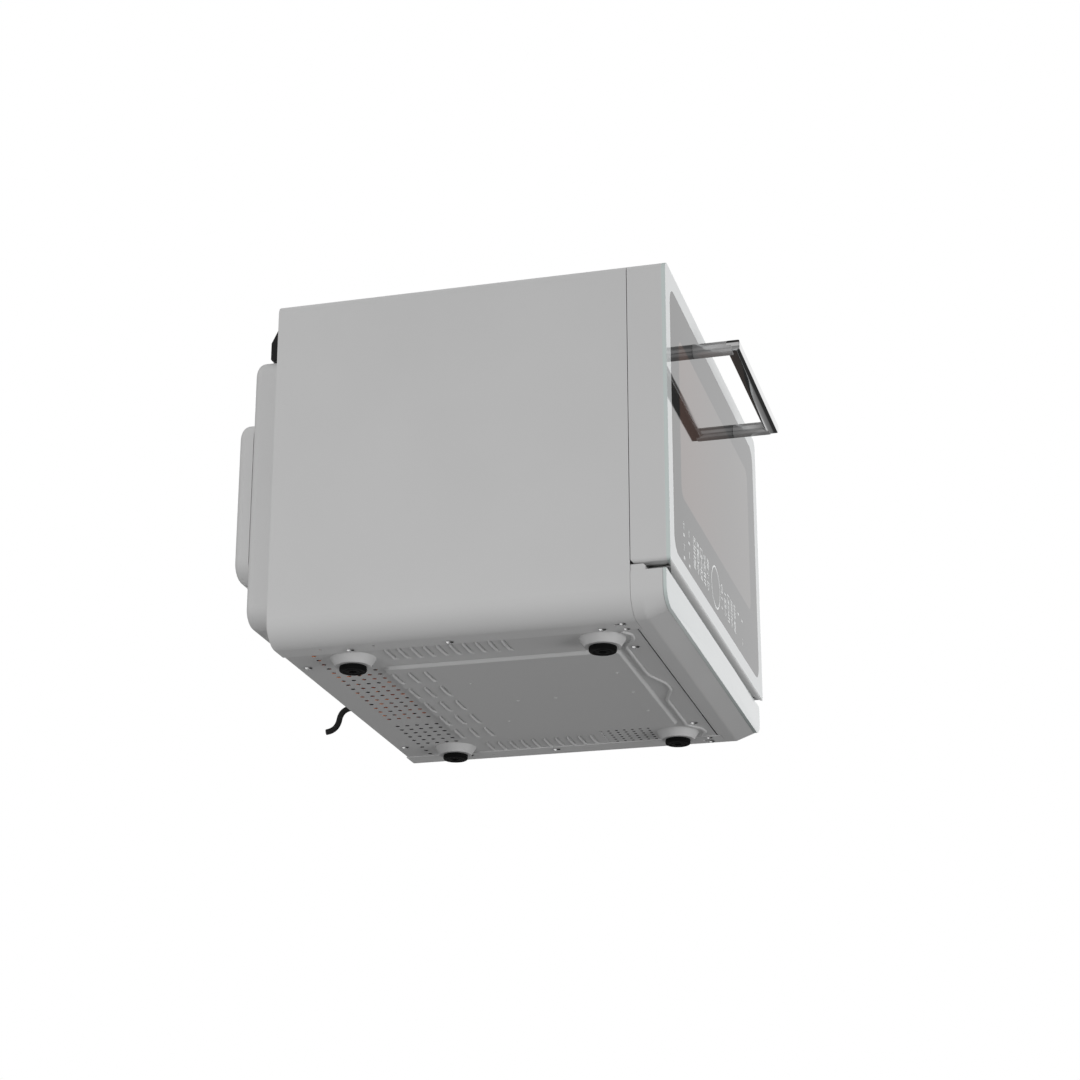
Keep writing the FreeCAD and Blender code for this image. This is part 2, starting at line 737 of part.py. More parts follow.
def vent_outlet():
    """Black exhaust grille at the top left of the back, with a sloped top."""
    left = -half + vent_inset
    outline = [(wrap_rear, vent_bottom), (wrap_rear + vent_depth, vent_bottom),
               (wrap_rear + vent_depth, vent_top - vent_depth), (wrap_rear + vent_depth / 2, vent_top),
               (wrap_rear, vent_top)]
    body = padded_profile("vent_blank", "x", outline, left, left + vent_width)
    slots = []
    for number in range(5):
        centre = left + vent_width * (number + 0.5) / 5
        slots.append(box(f"vent_slot_{number}", around(vent_width * 0.075, centre),
                         (wrap_rear + vent_depth / 2, wrap_rear + vent_depth * 2),
                         (vent_bottom + vent_depth / 3, vent_top - vent_depth * 1.3)))
    return cut("vent_outlet", body, *slots)


def rear_screws():
    """Pan heads round the back panel, as one group of separate solids."""
    top_row = height - top_radius
    low_row = rear_cover_bottom - screw_head * 3
    places = [(side * half * share, top_row) for side in (-1, 1) for share in (0.3, 0.84)]
    places += [(side * half * 0.8, low_row) for side in (-1, 1)]
    return group("rear_screws", *[cone(f"rear_screw_{number}", "y", screw_head, screw_head * 0.6,
                                       (x, wrap_rear, z), screw_head / 2)
                                  for number, (x, z) in enumerate(places)])


# Oven cavity
LAMP_LENS = size("lamp_lens_radius", 20)
LAMP_DEPTH = size("lamp_depth", 150)
LAMP_DROP = size("lamp_below_top", 34)
PROBE_DEPTH = size("probe_depth", 200)
PROBE_DROP = size("probe_below_top", 36)
PROBE_RADIUS = size("probe_radius", 2)
doc.recompute()
lamp_place = (frame_back + LAMP_DEPTH, cavity_top - LAMP_DROP)
probe_place = (frame_back + PROBE_DEPTH, cavity_top - PROBE_DROP)
lamp_bore = LAMP_LENS * 0.8
probe_head = PROBE_RADIUS * 2.5


def heater_ends(level):
    reach = heater_pitch * (heater_runs - 1) / 2
    return [(side * reach, level) for side in (-1, 1)]


upper_heater_z = cavity_top - heater_gap
lower_heater_z = cavity_floor + heater_gap


def cavity_liner():
    """Folded box, open at the front, with holes for shaft, heaters, lamp and probe."""
    wall = sheet_metal
    outer = rounded_block("liner_outer", "y", around(cavity_half + wall),
                          (cavity_floor - wall, cavity_top + wall), (frame_back, liner_back + wall),
                          cavity_corner + wall)
    hollow = rounded_block("liner_hollow", "y", around(cavity_half), (cavity_floor, cavity_top),
                           (frame_back - wall, liner_back), cavity_corner)
    rear = (liner_back - wall, wall * 3)
    holes = [cylinder("liner_shaft_hole", "y", shaft_radius * 1.5, (0, rear[0], fan_height), rear[1])]
    for number, (x, z) in enumerate(heater_ends(upper_heater_z) + heater_ends(lower_heater_z)):
        holes.append(cylinder(f"liner_heater_hole_{number}", "y", heater_radius + running,
                              (x, rear[0], z), rear[1]))
    holes.append(cylinder("liner_lamp_hole", "x", lamp_bore,
                          (cavity_half - wall, lamp_place[0], lamp_place[1]), wall * 3))
    holes.append(cylinder("liner_probe_hole", "x", PROBE_RADIUS + running,
                          (-cavity_half - wall * 2, probe_place[0], probe_place[1]), wall * 3))
    return cut("cavity_liner", cut("liner_box", outer, hollow), *holes)


def insulation():
    """Mineral-wool blanket round the liner's four sides."""
    inner = sheet_metal + loose
    outer = inner + insulation_thickness
    along = (frame_back + loose, liner_back)
    blanket = rounded_block("blanket_outer", "y", around(cavity_half + outer),
                            (cavity_floor - outer, cavity_top + outer), along, cavity_corner + outer)
    hollow = rounded_block("blanket_hollow", "y", around(cavity_half + inner),
                           (cavity_floor - inner, cavity_top + inner),
                           (along[0] - loose, along[1] + loose), cavity_corner + inner)
    lamp_hole = cylinder("blanket_lamp_hole", "x", lamp_bore + loose,
                         (cavity_half, lamp_place[0], lamp_place[1]), outer * 2)
    probe_hole = cylinder("blanket_probe_hole", "x", probe_head + loose,
                          (-cavity_half - outer * 2, probe_place[0], probe_place[1]), outer * 2)
    return cut("insulation", cut("blanket_tube", blanket, hollow), lamp_hole, probe_hole)


runner_y = (frame_back + runner_front, liner_back - runner_rear)
runner_z = (cavity_floor + runner_low, cavity_top - runner_high)
ledge_levels = [runner_z[0] + (runner_z[1] - runner_z[0]) * share / 6 for share in (1, 2, 5)]


def runner(side, name):
    """Side plate with three folded ledges that carry the rack."""
    wall_x = cavity_half - running
    sheet_x = wall_x - sheet_metal
    plate = box(f"{name}_plate", mirrored(side, sheet_x, wall_x), runner_y, runner_z)
    ledges = [box(f"{name}_ledge_{number}", mirrored(side, sheet_x - ledge_reach, sheet_x + running),
                  runner_y, (level - sheet_metal, level)) for number, level in enumerate(ledge_levels)]
    return fuse(name, plate, *ledges)


def wire_rack():
    """Two rails across the front and back carry a row of welded rods."""
    reach = cavity_half - sheet_metal * 3
    level = ledge_levels[1] + rack_rail
    y = (runner_y[0] + rack_rail * 3, runner_y[1] - rack_rail * 3)
    rails = [cylinder(f"rack_rail_{number}", "x", rack_rail, (-reach, rail_y, level), reach * 2)
             for number, rail_y in enumerate(y)]
    rod_count = int(float(rack_rods))
    rod_reach = reach - ledge_reach - rack_rail * 2
    rods = []
    for number in range(rod_count):
        x = rod_reach * (2 * number / (rod_count - 1) - 1)
        rods.append(cylinder(f"rack_rod_{number}", "y", rack_rod, (x, y[0] - rack_rail, level + rack_rail),
                             y[1] - y[0] + rack_rail * 2))
    return fuse("wire_rack", *rails, *rods)


def heater(name, level):
    """Serpentine heating tube whose ends leave through the cavity's back wall."""
    pitch, runs = float(heater_pitch), int(float(heater_runs))
    y_front = float(frame_back + runner_front * 2)
    y_turn = float(liner_back - baffle_depth) - pitch / 2
    points = []
    for run in range(runs):
        x = (run - (runs - 1) / 2) * pitch
        ends = [y_turn, y_front] if run % 2 == 0 else [y_front, y_turn]
        points += [(x, y, float(level)) for y in ends]
    y_end = float(liner_back + heater_gap)
    points[0] = (points[0][0], y_end, float(level))
    points[-1] = (points[-1][0], y_end, float(level))
    bends = [pitch * 0.42] * (len(points) - 2)
    return shaped(name, tube(points, bends, heater_radius))


def lamp_lens():
    return cone("lamp_lens", "x", LAMP_LENS * 0.75, LAMP_LENS,
                (cavity_half - glass, lamp_place[0], lamp_place[1]), glass)


def lamp_holder():
    """Ceramic holder that plugs the hole in the liner and blanket behind the lens."""
    length = insulation_thickness + sheet_metal * 6
    barrel = cylinder("lamp_barrel", "x", lamp_bore - running,
                      (cavity_half, lamp_place[0], lamp_place[1]), length)
    cap = cylinder("lamp_cap", "x", lamp_bore * 0.6,
                   (cavity_half + length, lamp_place[0], lamp_place[1]), sheet_metal * 6)
    return fuse("lamp_holder", barrel, cap)


def temperature_probe():
    """Sheathed thermocouple through the cavity's left wall."""
    outside = -cavity_half - sheet_metal
    sheath = cylinder("probe_sheath", "x", PROBE_RADIUS,
                      (outside - insulation_thickness, probe_place[0], probe_place[1]),
                      insulation_thickness * 2.8)
    collar = cylinder("probe_collar", "x", probe_head,
                      (outside - probe_head * 2, probe_place[0], probe_place[1]), probe_head * 2)
    return fuse("temperature_probe", sheath, collar)


def door_gasket():
    """Silicone ring on the front frame, just short of the closed door."""
    low, high = sheet_metal * 4, sheet_metal * 4 + gasket_width
    along = (door_back + slide_clearance, frame_front)
    ring = rounded_block("gasket_outer", "y", around(cavity_half + high),
                         (cavity_floor - high, cavity_top + high), along, cavity_corner + high)
    hole = rounded_block("gasket_hole", "y", around(cavity_half + low),
                         (cavity_floor - low, cavity_top + low),
                         (along[0] - loose, along[1] + loose), cavity_corner + low)
    return cut("door_gasket", ring, hole)


# Circulation fan
wheel_back = liner_back - sheet_metal * 8
wheel_front = wheel_back - wheel_width


def fan_baffle():
    """Pressed cover over the wheel: inlet ring of slots, outlet slots at the sides."""
    body = rounded_block("baffle_blank", "y", around(baffle_half_wide),
                         around(baffle_half_tall, fan_height),
                         (liner_back - baffle_depth, liner_back), cavity_corner)
    shelled(body, sheet_metal, "y", float(liner_back))
    sheet_t, hub, deep = float(sheet_metal), float(hub_radius), float(baffle_depth)
    face, middle = float(liner_back) - deep, float(fan_height)
    inlet, outlet = [], []
    for number in range(12):
        slot = Part.makeBox(hub * 2.6, 10 * sheet_t, hub * 0.5, Vector(hub, face - 4 * sheet_t, -hub / 4))
        slot.rotate(Vector(), Vector(0, 1, 0), 30 * number)
        slot.translate(Vector(0, 0, middle))
        inlet.append(slot)
    for side in (-1, 1):
        for number in range(4):
            low = middle + (number - 1.8) * float(baffle_half_tall) * 0.4
            corner = Vector(side * float(baffle_half_wide) - 2 * sheet_t, face + deep * 0.25, low)
            outlet.append(Part.makeBox(4 * sheet_t, deep * 0.5, hub * 1.4, corner))
    return cut("fan_baffle", body, shaped("baffle_slots", Part.makeCompound(inlet + outlet)))


def fan_wheel():
    """Back disc with radial blades and a bored hub."""
    disc = cylinder("wheel_disc", "y", wheel_radius, (0, wheel_back - sheet_metal, fan_height), sheet_metal)
    hub = cylinder("wheel_hub", "y", hub_radius, (0, wheel_front, fan_height), wheel_width)
    blades = []
    inner = float(hub_radius) * 0.9
    for number in range(int(float(wheel_blades))):
        blade = Part.makeBox(float(wheel_radius) - inner, float(wheel_width), float(sheet_metal),
                             Vector(inner, float(wheel_front), -float(sheet_metal) / 2))
        blade.rotate(Vector(), Vector(0, 1, 0), 360 * number / float(wheel_blades))
        blade.translate(Vector(0, 0, float(fan_height)))
        blades.append(blade)
    solid = fuse("wheel_solid", disc, hub, shaped("wheel_blades", Part.makeCompound(blades)))
    bore = cylinder("wheel_bore", "y", shaft_radius + running, (0, wheel_front - loose, fan_height),
                    wheel_width + loose * 2)
    return cut("fan_wheel", solid, bore)


shaft_front = wheel_front - sheet_metal * 6
shaft_length = motor_front + motor_length * 0.8 - shaft_front


def fan_shaft():
    return cylinder("fan_shaft", "y", shaft_radius, (0, shaft_front, fan_height), shaft_length)


def fan_nut():
    """Hexagonal nut that holds the wheel on its shaft."""
    nut = doc.addObject("Part::Prism", "nut_blank")
    nut.Polygon = 6
    nut.Placement = Placement(Vector(), AXIS_TURN["y"])
    bind(nut, "Circumradius", shaft_radius * 1.8)
    bind(nut, "Height", sheet_metal * 4)
    place(nut, (0, wheel_front - sheet_metal * 4, fan_height))
    bore = cylinder("nut_bore", "y", shaft_radius + running,
                    (0, wheel_front - sheet_metal * 5, fan_height), sheet_metal * 6)
    return cut("fan_nut", nut, bore)


def ring_heater():
    ring = doc.addObject("Part::Torus", "ring_heater")
    ring.Placement = Placement(Vector(), AXIS_TURN["y"])
    bind(ring, "Radius1", ring_radius)
    bind(ring, "Radius2", heater_radius)
    place(ring, (0, (wheel_front + wheel_back) / 2, fan_height))
    return ring


def fan_motor():
    """Flanged motor behind the cavity, bored for the wheel's shaft."""
    flange = cylinder("motor_flange", "y", motor_radius * 1.3, (0, motor_front, fan_height),
                      sheet_metal * 3)
    can = cylinder("motor_can", "y", motor_radius, (0, motor_front, fan_height), motor_length)
    cap = cone("motor_cap", "y", motor_radius * 0.6, motor_radius * 0.4,
               (0, motor_front + motor_length, fan_height), motor_cap)
    bore = cylinder("motor_bore", "y", shaft_radius + running, (0, motor_front - loose, fan_height),
                    motor_length * 0.8 + loose * 2)
    return cut("fan_motor", fuse("motor_solid", flange, can, cap), bore)


# Electronics under the cavity
def power_board():
    """Circuit board on four posts, with its transformer, relays and capacitors."""
    board_half = pan_half * 0.64
    y = (pan_y[0] + pan_length * 0.15, pan_y[0] + pan_length * 0.6)
    floor = pan_low + sheet_metal
    level = plate_high + foot_radius
    board = box("board_sheet", around(board_half), y, (level, level + sheet_metal * 1.6))
    posts = [cylinder(f"board_post_{number}", "z", PROBE_RADIUS * 1.5,
                      (side * (board_half - PROBE_RADIUS * 3), post_y, floor), level - floor + sheet_metal)
             for number, (side, post_y) in enumerate(
                 (side, edge) for side in (-1, 1)
                 for edge in (y[0] + PROBE_RADIUS * 3, y[1] - PROBE_RADIUS * 3))]
    top = level + sheet_metal * 1.5
    core = box("board_transformer", (-board_half * 0.85, -board_half * 0.25),
               (y[0] + pan_length * 0.08, y[0] + pan_length * 0.26), (top, top + foot_radius * 2.4))
    relays = [box(f"board_relay_{number}", (board_half * 0.05 + foot_radius * 1.6 * number,
                                            board_half * 0.05 + foot_radius * (1.6 * number + 1.2)),
                  (y[0] + pan_length * 0.06, y[0] + pan_length * 0.14), (top, top + foot_radius))
              for number in range(3)]
    cans = [cylinder(f"board_can_{number}", "z", foot_radius * 0.5,
                     (board_half * 0.2 + foot_radius * 1.4 * number, y[0] + pan_length * 0.3, top),
                     foot_radius * 1.8) for number in range(3)]
    return fuse("power_board", board, core, *posts, *relays, *cans)


# Door
axis_line = (hinge_y, hinge_z)
arm_x = (half - arm_inset - arm_thickness, half - arm_inset)
notch_x = (arm_x[0] - arm_clearance, arm_x[1] + arm_clearance)
leaf_x = (notch_x[0] - leaf_thickness, notch_x[0])
leaf_y = (hinge_y - arm_half_tall, hinge_y + arm_half_tall * 2.5)
leaf_z = (door_bottom + arm_clearance, door_bottom + arm_clearance + leaf_tall)
window_half = half - window_side_margin
window_top = height - window_top_margin
pane_half = window_half + pane_margin
pane_z = (window_bottom - pane_margin, window_top + pane_margin)
opening_half = pane_half - retainer_margin
opening_z = (pane_z[0] + retainer_margin, pane_z[1] - retainer_margin)
pane_front = door_back - sheet_metal - glass
screw_seat = front + door_depth / 2
board_half_wide = window_half * 0.9
board_z = (leaf_z[0] + pane_margin, window_bottom - pane_margin * 2)


def door_slab(name, y):
    """A slab with the door's outline: wide top corners, small bottom corners."""
    body = padded_profile(name, "y", rectangle(around(half), (door_bottom, height)), y[0], y[1])
    middle = float(height + door_bottom) / 2
    round_edges(body, "y", top_radius, lambda p: p.z > middle)
    return round_edges(body, "y", door_corner, lambda p: p.z < middle)


def handle_bores(name, radius, y):
    return [cylinder(f"{name}_{number}", "y", radius, (side * handle_x, y[0], handle_height), y[1] - y[0])
            for number, side in enumerate((-1, 1))]


def door_frame():
    """Moulded frame: window, pane rebate, board pocket, hinge notches and screw bores."""
    swing_edge = padded_profile("door_swing_edge", "x", [
        (door_back - door_bevel, door_bottom - loose), (door_back + loose, door_bottom - loose),
        (door_back + loose, door_bottom + door_bevel)], -half, half)
    slab = cut("door_bevelled", door_slab("door_blank", (glass_back, door_back)), swing_edge)
    window = rounded_block("door_window", "y", around(opening_half), opening_z,
                           (glass_back - loose, door_back + loose), cavity_corner)
    rebate = rounded_block("door_rebate", "y", around(pane_half + running),
                           (pane_z[0] - running, pane_z[1] + running),
                           (pane_front, door_back + loose), cavity_corner + retainer_margin)
    pocket = box("door_pocket", around(board_half_wide + loose), (glass_back - loose, screw_seat),
                 (board_z[0] - loose, board_z[1] + loose))
    hinge_cuts = []
    for side in (-1, 1):
        tag = "right" if side > 0 else "left"
        notch = box(f"door_notch_{tag}", mirrored(side, notch_x[0], notch_x[1]),
                    (hinge_y - arm_half_tall - arm_clearance, door_back + loose),
                    (door_bottom - loose, hinge_z + arm_half_tall + arm_clearance))
        seat = box(f"door_leaf_seat_{tag}", mirrored(side, leaf_x[0] - running, leaf_x[1] + running),
                   (leaf_y[0] - running, leaf_y[1] + running), (leaf_z[0] - running, leaf_z[1] + running))
        hinge_cuts.append(fuse(f"door_hinge_cut_{tag}", notch, seat))
    bores = handle_bores("door_bore", screw_radius + running, (glass_back - loose, screw_seat))
    seats = handle_bores("door_screw_seat", screw_head + loose, (screw_seat, door_back + loose))
    hollow = fuse("door_hollow", window, rebate)
    return cut("door_frame", slab, hollow, pocket, *hinge_cuts,
               fuse("door_bore_left", bores[0], seats[0]), fuse("door_bore_right", bores[1], seats[1]))


def door_glass_outer():
    slab = door_slab("front_glass_blank", (front, glass_back))
    return cut("door_glass_outer", slab,
               *handle_bores("glass_bore", screw_radius + running, (front - loose, glass_back + loose)))


def door_glass_inner():
    return rounded_block("door_glass_inner", "y", around(pane_half), pane_z,
                         (pane_front, pane_front + glass), cavity_corner + retainer_margin)


def glass_retainer():
    """Thin rim, flush with the door's back, that holds the inner pane."""
    along = (pane_front + glass, door_back)
    ring = rounded_block("retainer_outer", "y", around(pane_half), pane_z, along,
                         cavity_corner + retainer_margin)
    hole = rounded_block("retainer_hole", "y", around(opening_half), opening_z,
                         (along[0] - loose, along[1] + loose), cavity_corner)
    return cut("glass_retainer", ring, hole)


def hinge_leaves():
    """Steel leaves in the door's lower corners, bored to turn on the pins."""
    leaves = []
    for side in (-1, 1):
        tag = "right" if side > 0 else "left"
        plate = box(f"leaf_plate_{tag}", mirrored(side, leaf_x[0], leaf_x[1]), leaf_y, leaf_z)
        span = mirrored(side, leaf_x[0] - loose, leaf_x[1] + loose)
        bore = cylinder(f"leaf_bore_{tag}", "x", pin_radius + running, (span[0], hinge_y, hinge_z),
                        span[1] - span[0])
        leaves.append(cut(f"leaf_{tag}", plate, bore))
    return group("hinge_leaves", *leaves)


def hinge_brackets():
    """Arms that reach forward from the front frame into the door's notches."""
    arms = []
    for side in (-1, 1):
        tag = "right" if side > 0 else "left"
        span = mirrored(side, arm_x[0], arm_x[1])
        bar = box(f"arm_bar_{tag}", span, (hinge_y, frame_front), around(arm_half_tall, hinge_z))
        eye = cylinder(f"arm_eye_{tag}", "x", arm_half_tall, (span[0], hinge_y, hinge_z), arm_thickness)
        bore = cylinder(f"arm_bore_{tag}", "x", pin_radius, (span[0] - loose, hinge_y, hinge_z),
                        arm_thickness + loose * 2)
        arms.append(cut(f"arm_{tag}", fuse(f"arm_solid_{tag}", bar, eye), bore))
    return group("hinge_brackets", *arms)


def hinge_pins():
    pins = []
    for side in (-1, 1):
        span = mirrored(side, leaf_x[0], arm_x[1])
        pins.append(cylinder(f"pin_{'right' if side > 0 else 'left'}", "x", pin_radius,
                             (span[0], hinge_y, hinge_z), span[1] - span[0]))
    return group("hinge_pins", *pins)


def handle_bar():
    body = padded_profile("handle_bar", "y", rectangle(around(handle_x + post_width / 2), handle_z),
                          front - handle_reach, bar_back)
    return round_edges(body, "x", handle_edge)


def handle_post(side, name):
    """Post between the glass and the bar, tapped for its screw."""
    body = rounded_block(f"{name}_blank", "y", around(post_width / 2, side * handle_x), handle_z,
                         (bar_back, front), post_edge)
    bore = cylinder(f"{name}_bore", "y", screw_radius,
                    (side * handle_x, front - handle_tall, handle_height), handle_tall + loose)
    return cut(name, body, bore)


def handle_screws():
    screws = []
    for side in (-1, 1):
        tag = "right" if side > 0 else "left"
        shank = cylinder(f"handle_shank_{tag}", "y", screw_radius,
                         (side * handle_x, front - handle_tall, handle_height),
                         screw_seat - front + handle_tall)
        head = cylinder(f"handle_head_{tag}", "y", screw_head,
                        (side * handle_x, screw_seat, handle_height), screw_radius * 1.5)
        screws.append(fuse(f"handle_screw_{tag}", shank, head))
    return group("handle_screws", *screws)


display_half = board_half_wide * 0.22
display_y = (glass_back + running, glass_back + glass)


def control_board():
    """Touch board behind the lower glass, seated on the pocket's floor."""
    board = box("touch_board", around(board_half_wide),
                (display_y[1], display_y[1] + sheet_metal * 1.6), board_z)
    stands = [cylinder(f"touch_stand_{number}", "y", PROBE_RADIUS * 1.5,
                       (side * (board_half_wide - PROBE_RADIUS * 3), display_y[1] + sheet_metal,
                        z), screw_seat - display_y[1] - sheet_metal)
              for number, (side, z) in enumerate(
                  (side, edge) for side in (-1, 1)
                  for edge in (board_z[0] + PROBE_RADIUS * 3, board_z[1] - PROBE_RADIUS * 3))]
    return fuse("control_board", board, *stands)


def display_module():
    middle = (board_z[0] + board_z[1]) / 2
    return rounded_block("display_module", "y", around(display_half),
                         around((board_z[1] - board_z[0]) * 0.36, middle), display_y, sheet_metal)


# Drip tray
tray_front_y = front + tray_set_back
tray_shell_y = (tray_front_y + glass, wrap_front - loose)


def tray_outline(name, x_half, z, y, radius):
    """A slab across the oven whose lower corners follow the cabinet's curl."""
    body = padded_profile(name, "y", rectangle(around(x_half), z), y[0], y[1])
    middle = float(z[0] + z[1]) / 2
    return round_edges(body, "y", radius, lambda p: p.z < middle)


def drip_tray():
    """Trough under the door: sloped nose, rounded ends and sockets for the guides."""
    y0, y1 = tray_shell_y
    profile = [(y0, tray_nose), (y0 + tray_slope, underside), (y1, underside), (y1, tray_top),
               (y0, tray_top)]
    side_view = padded_profile("tray_side_view", "x", profile, -half, half)
    front_view = tray_outline("tray_front_view", half, (underside, tray_top + loose), tray_shell_y,
                              bottom_radius)
    heel = box("tray_heel", around(lip_inner - loose * 3), (y1 - tray_wall, base_front - sheet_metal * 2.2),
               (underside, tray_nose))
    solid = fuse("tray_solid", common("tray_curled", side_view, front_view), heel)
    trough = tray_outline("tray_trough", half - tray_wall, (tray_nose + tray_wall, tray_top + tray_wall),
                          (y0 + tray_wall, y1 - tray_wall), bottom_radius - tray_wall)
    sockets = [cylinder(f"tray_socket_{number}", "y", guide_radius + slide_clearance,
                        (side * guide_spacing / 2, y1 - tray_wall * 2, guide_z), tray_wall * 3)
               for number, side in enumerate((-1, 1))]
    return cut("drip_tray", cut("tray_open", solid, trough), *sockets)


guide_z = (tray_nose + tray_top) / 2


def tray_front():
    """Glass strip on the tray's nose, in line with the door glass."""
    return tray_outline("tray_front", half, (tray_nose, tray_top), (tray_front_y, tray_front_y + glass),
                        bottom_radius - tray_set_back)


def tray_guides():
    """Two pegs on the front frame that the tray slides on to."""
    pegs = [cylinder(f"guide_{number}", "y", guide_radius,
                     (side * guide_spacing / 2, frame_front - guide_length, guide_z), guide_length)
            for number, side in enumerate((-1, 1))]
    return group("tray_guides", *pegs)


def tray_catches():
    """Small blocks on the front frame that the tray's back corners slide under."""
    tip = tray_shell_y[1] - catch_reach
    low = tray_top + slide_clearance
    nose = sheet_metal * 2
    profile = [(tip, low), (frame_front, low), (frame_front, catch_top), (tip + nose, catch_top),
               (tip, catch_top - nose)]
    blocks = []
    for side in (-1, 1):
        span = mirrored(side, inside - loose - catch_width, inside - loose)
        name = "catch_right" if side > 0 else "catch_left"
        blocks.append(padded_profile(name, "x", profile, span[0], span[1]))
    return group("tray_catches", *blocks)


# Power cord
CORD_ROUTE = [(23, 29), (27.5, 4.5), (40, 3.45)]


def cord_gland():
    """Strain relief through the back panel: inner nut, flange and tapered sleeve."""
    start = (cord_side, wrap_rear, gland_height)
    flange = cylinder("gland_flange", "y", cord_radius * 2.2, start, sheet_metal * 2)
    sleeve = cone("gland_sleeve", "y", cord_radius * 1.7, cord_radius * 1.25, start, gland_length)
    neck = cylinder("gland_neck", "y", cord_radius * 1.8 - running,
                    (cord_side, wrap_rear - sheet_metal * 3, gland_height), sheet_metal * 3)
    nut = cylinder("gland_nut", "y", cord_radius * 2.2,
                   (cord_side, wrap_rear - sheet_metal * 4, gland_height), sheet_metal * 3)
    return fuse("cord_gland", flange, sleeve, neck, nut)


def power_cord():
    """Short lead: out of the gland, down and on to the table, where it ends."""
    start = (float(cord_side), float(wrap_rear + gland_length), float(gland_height))
    points = [start] + [(start[0], float(wrap_rear) + y, z) for y, z in CORD_ROUTE]
    corners = [Vector(*point) for point in points]
    radii = []
    for before, corner, after in zip(corners, corners[1:], corners[2:]):
        run_in, run_out = corner - before, after - corner
        turn = run_in.getAngle(run_out)
        radii.append(0.45 * min(run_in.Length, run_out.Length) / math.tan(turn / 2))
    print("cord bend radii", [round(radius, 1) for radius in radii])
    solid = tube(points, radii, cord_radius)
    length = bent_wire(points, radii).Length
    print("cord length", round(length, 1), "volume ratio",
          round(solid.Volume / (math.pi * float(cord_radius) ** 2 * length), 4))
    return shaped("power_cord", solid)


def build():
    """All sub-parts of the oven, in the order that they would be put together."""
    return [
        outer_wrap(screw_holes("wrap_screw_holes")), base_plate(screw_holes("plate_screw_holes")),
        base_screws(), feet(), front_frame(), rear_panel(), rear_screws(), rear_cover(),
        motor_cover(), vent_outlet(), cavity_liner(), insulation(), runner(-1, "runner_left"),
        runner(1, "runner_right"), wire_rack(), heater("upper_heater", upper_heater_z),
        heater("lower_heater", lower_heater_z), lamp_lens(), lamp_holder(), temperature_probe(),
        door_gasket(), fan_baffle(), ring_heater(), fan_motor(), fan_wheel(), fan_shaft(),
        fan_nut(), power_board(), hinge_brackets(), hinge_pins(), door_frame(),
        door_glass_outer(), door_glass_inner(), glass_retainer(), hinge_leaves(), handle_bar(),
        handle_post(-1, "handle_post_left"), handle_post(1, "handle_post_right"),
        handle_screws(), control_board(), display_module(), drip_tray(), tray_front(),
        tray_guides(), tray_catches(), cord_gland(), power_cord()]


def check(sub_parts):
    """Stop if any object failed or any sub-part has no valid shape."""
    failed = [item.Name for item in doc.Objects if "Invalid" in item.State or "Error" in item.State]
    if failed:
        raise RuntimeError(f"objects failed to build: {failed}")
    for item in sub_parts:
        if item.Shape.isNull() or not item.Shape.isValid() or not item.Shape.Solids:
            raise RuntimeError(f"{item.Label} has no valid solid")


def export(sub_parts):
    os.makedirs("parts", exist_ok=True)
    for item in sub_parts:
        item.Shape.exportStep(f"parts/{item.Label}.step")


pieces = build()
doc.recompute()
check(pieces)
export(pieces)
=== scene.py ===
"""Looks of a countertop oven with a drop-down glass door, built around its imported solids."""
import json
import math

import bmesh
import bpy
import numpy as np
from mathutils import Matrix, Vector


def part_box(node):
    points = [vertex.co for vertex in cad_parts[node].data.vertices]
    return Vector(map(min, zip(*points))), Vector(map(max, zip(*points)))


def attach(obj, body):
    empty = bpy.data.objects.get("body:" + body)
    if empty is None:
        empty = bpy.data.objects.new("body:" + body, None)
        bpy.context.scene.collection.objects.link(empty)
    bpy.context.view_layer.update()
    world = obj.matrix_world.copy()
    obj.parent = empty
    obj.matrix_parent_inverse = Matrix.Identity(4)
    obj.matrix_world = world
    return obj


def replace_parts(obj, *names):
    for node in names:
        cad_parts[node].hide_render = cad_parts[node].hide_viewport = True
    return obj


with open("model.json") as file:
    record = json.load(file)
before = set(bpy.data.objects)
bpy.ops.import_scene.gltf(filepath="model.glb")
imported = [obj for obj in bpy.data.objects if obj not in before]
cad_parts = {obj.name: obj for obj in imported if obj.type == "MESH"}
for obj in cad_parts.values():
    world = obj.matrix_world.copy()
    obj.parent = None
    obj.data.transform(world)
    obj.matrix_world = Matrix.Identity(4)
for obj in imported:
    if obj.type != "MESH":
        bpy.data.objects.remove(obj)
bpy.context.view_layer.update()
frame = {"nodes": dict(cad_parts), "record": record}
nodes = frame["nodes"]
MM = 0.001
# Front face of the door's glass, from which places along the oven are counted
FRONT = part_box("door_glass_outer")[0].y


# Shader arithmetic
class Link:
    """A node's output in a shader tree; arithmetic on it adds Math nodes."""

    def __init__(self, shader, socket):
        self.shader = shader
        self.socket = socket

    def __add__(self, other):
        return self.shader.math("ADD", self, other)

    def __sub__(self, other):
        return self.shader.math("SUBTRACT", self, other)

    def __mul__(self, other):
        return self.shader.math("MULTIPLY", self, other)

    def __rsub__(self, other):
        return self.shader.math("SUBTRACT", other, self)

    def __neg__(self):
        return self.shader.math("MULTIPLY", self, -1.0)

    def __abs__(self):
        return self.shader.math("ABSOLUTE", self)

    __radd__ = __add__
    __rmul__ = __mul__

    def above(self, low):
        return self.shader.math("MAXIMUM", self, low)

    def below(self, high):
        return self.shader.math("MINIMUM", self, high)

    def root(self):
        return self.shader.math("SQRT", self)

    def ramp(self, low, high):
        """0 up to low, 1 from high on, with a smooth step between them."""
        return self.shader.node("ShaderNodeMapRange", {"interpolation_type": "SMOOTHSTEP"},
                                {"Value": self, "From Min": low, "From Max": high})


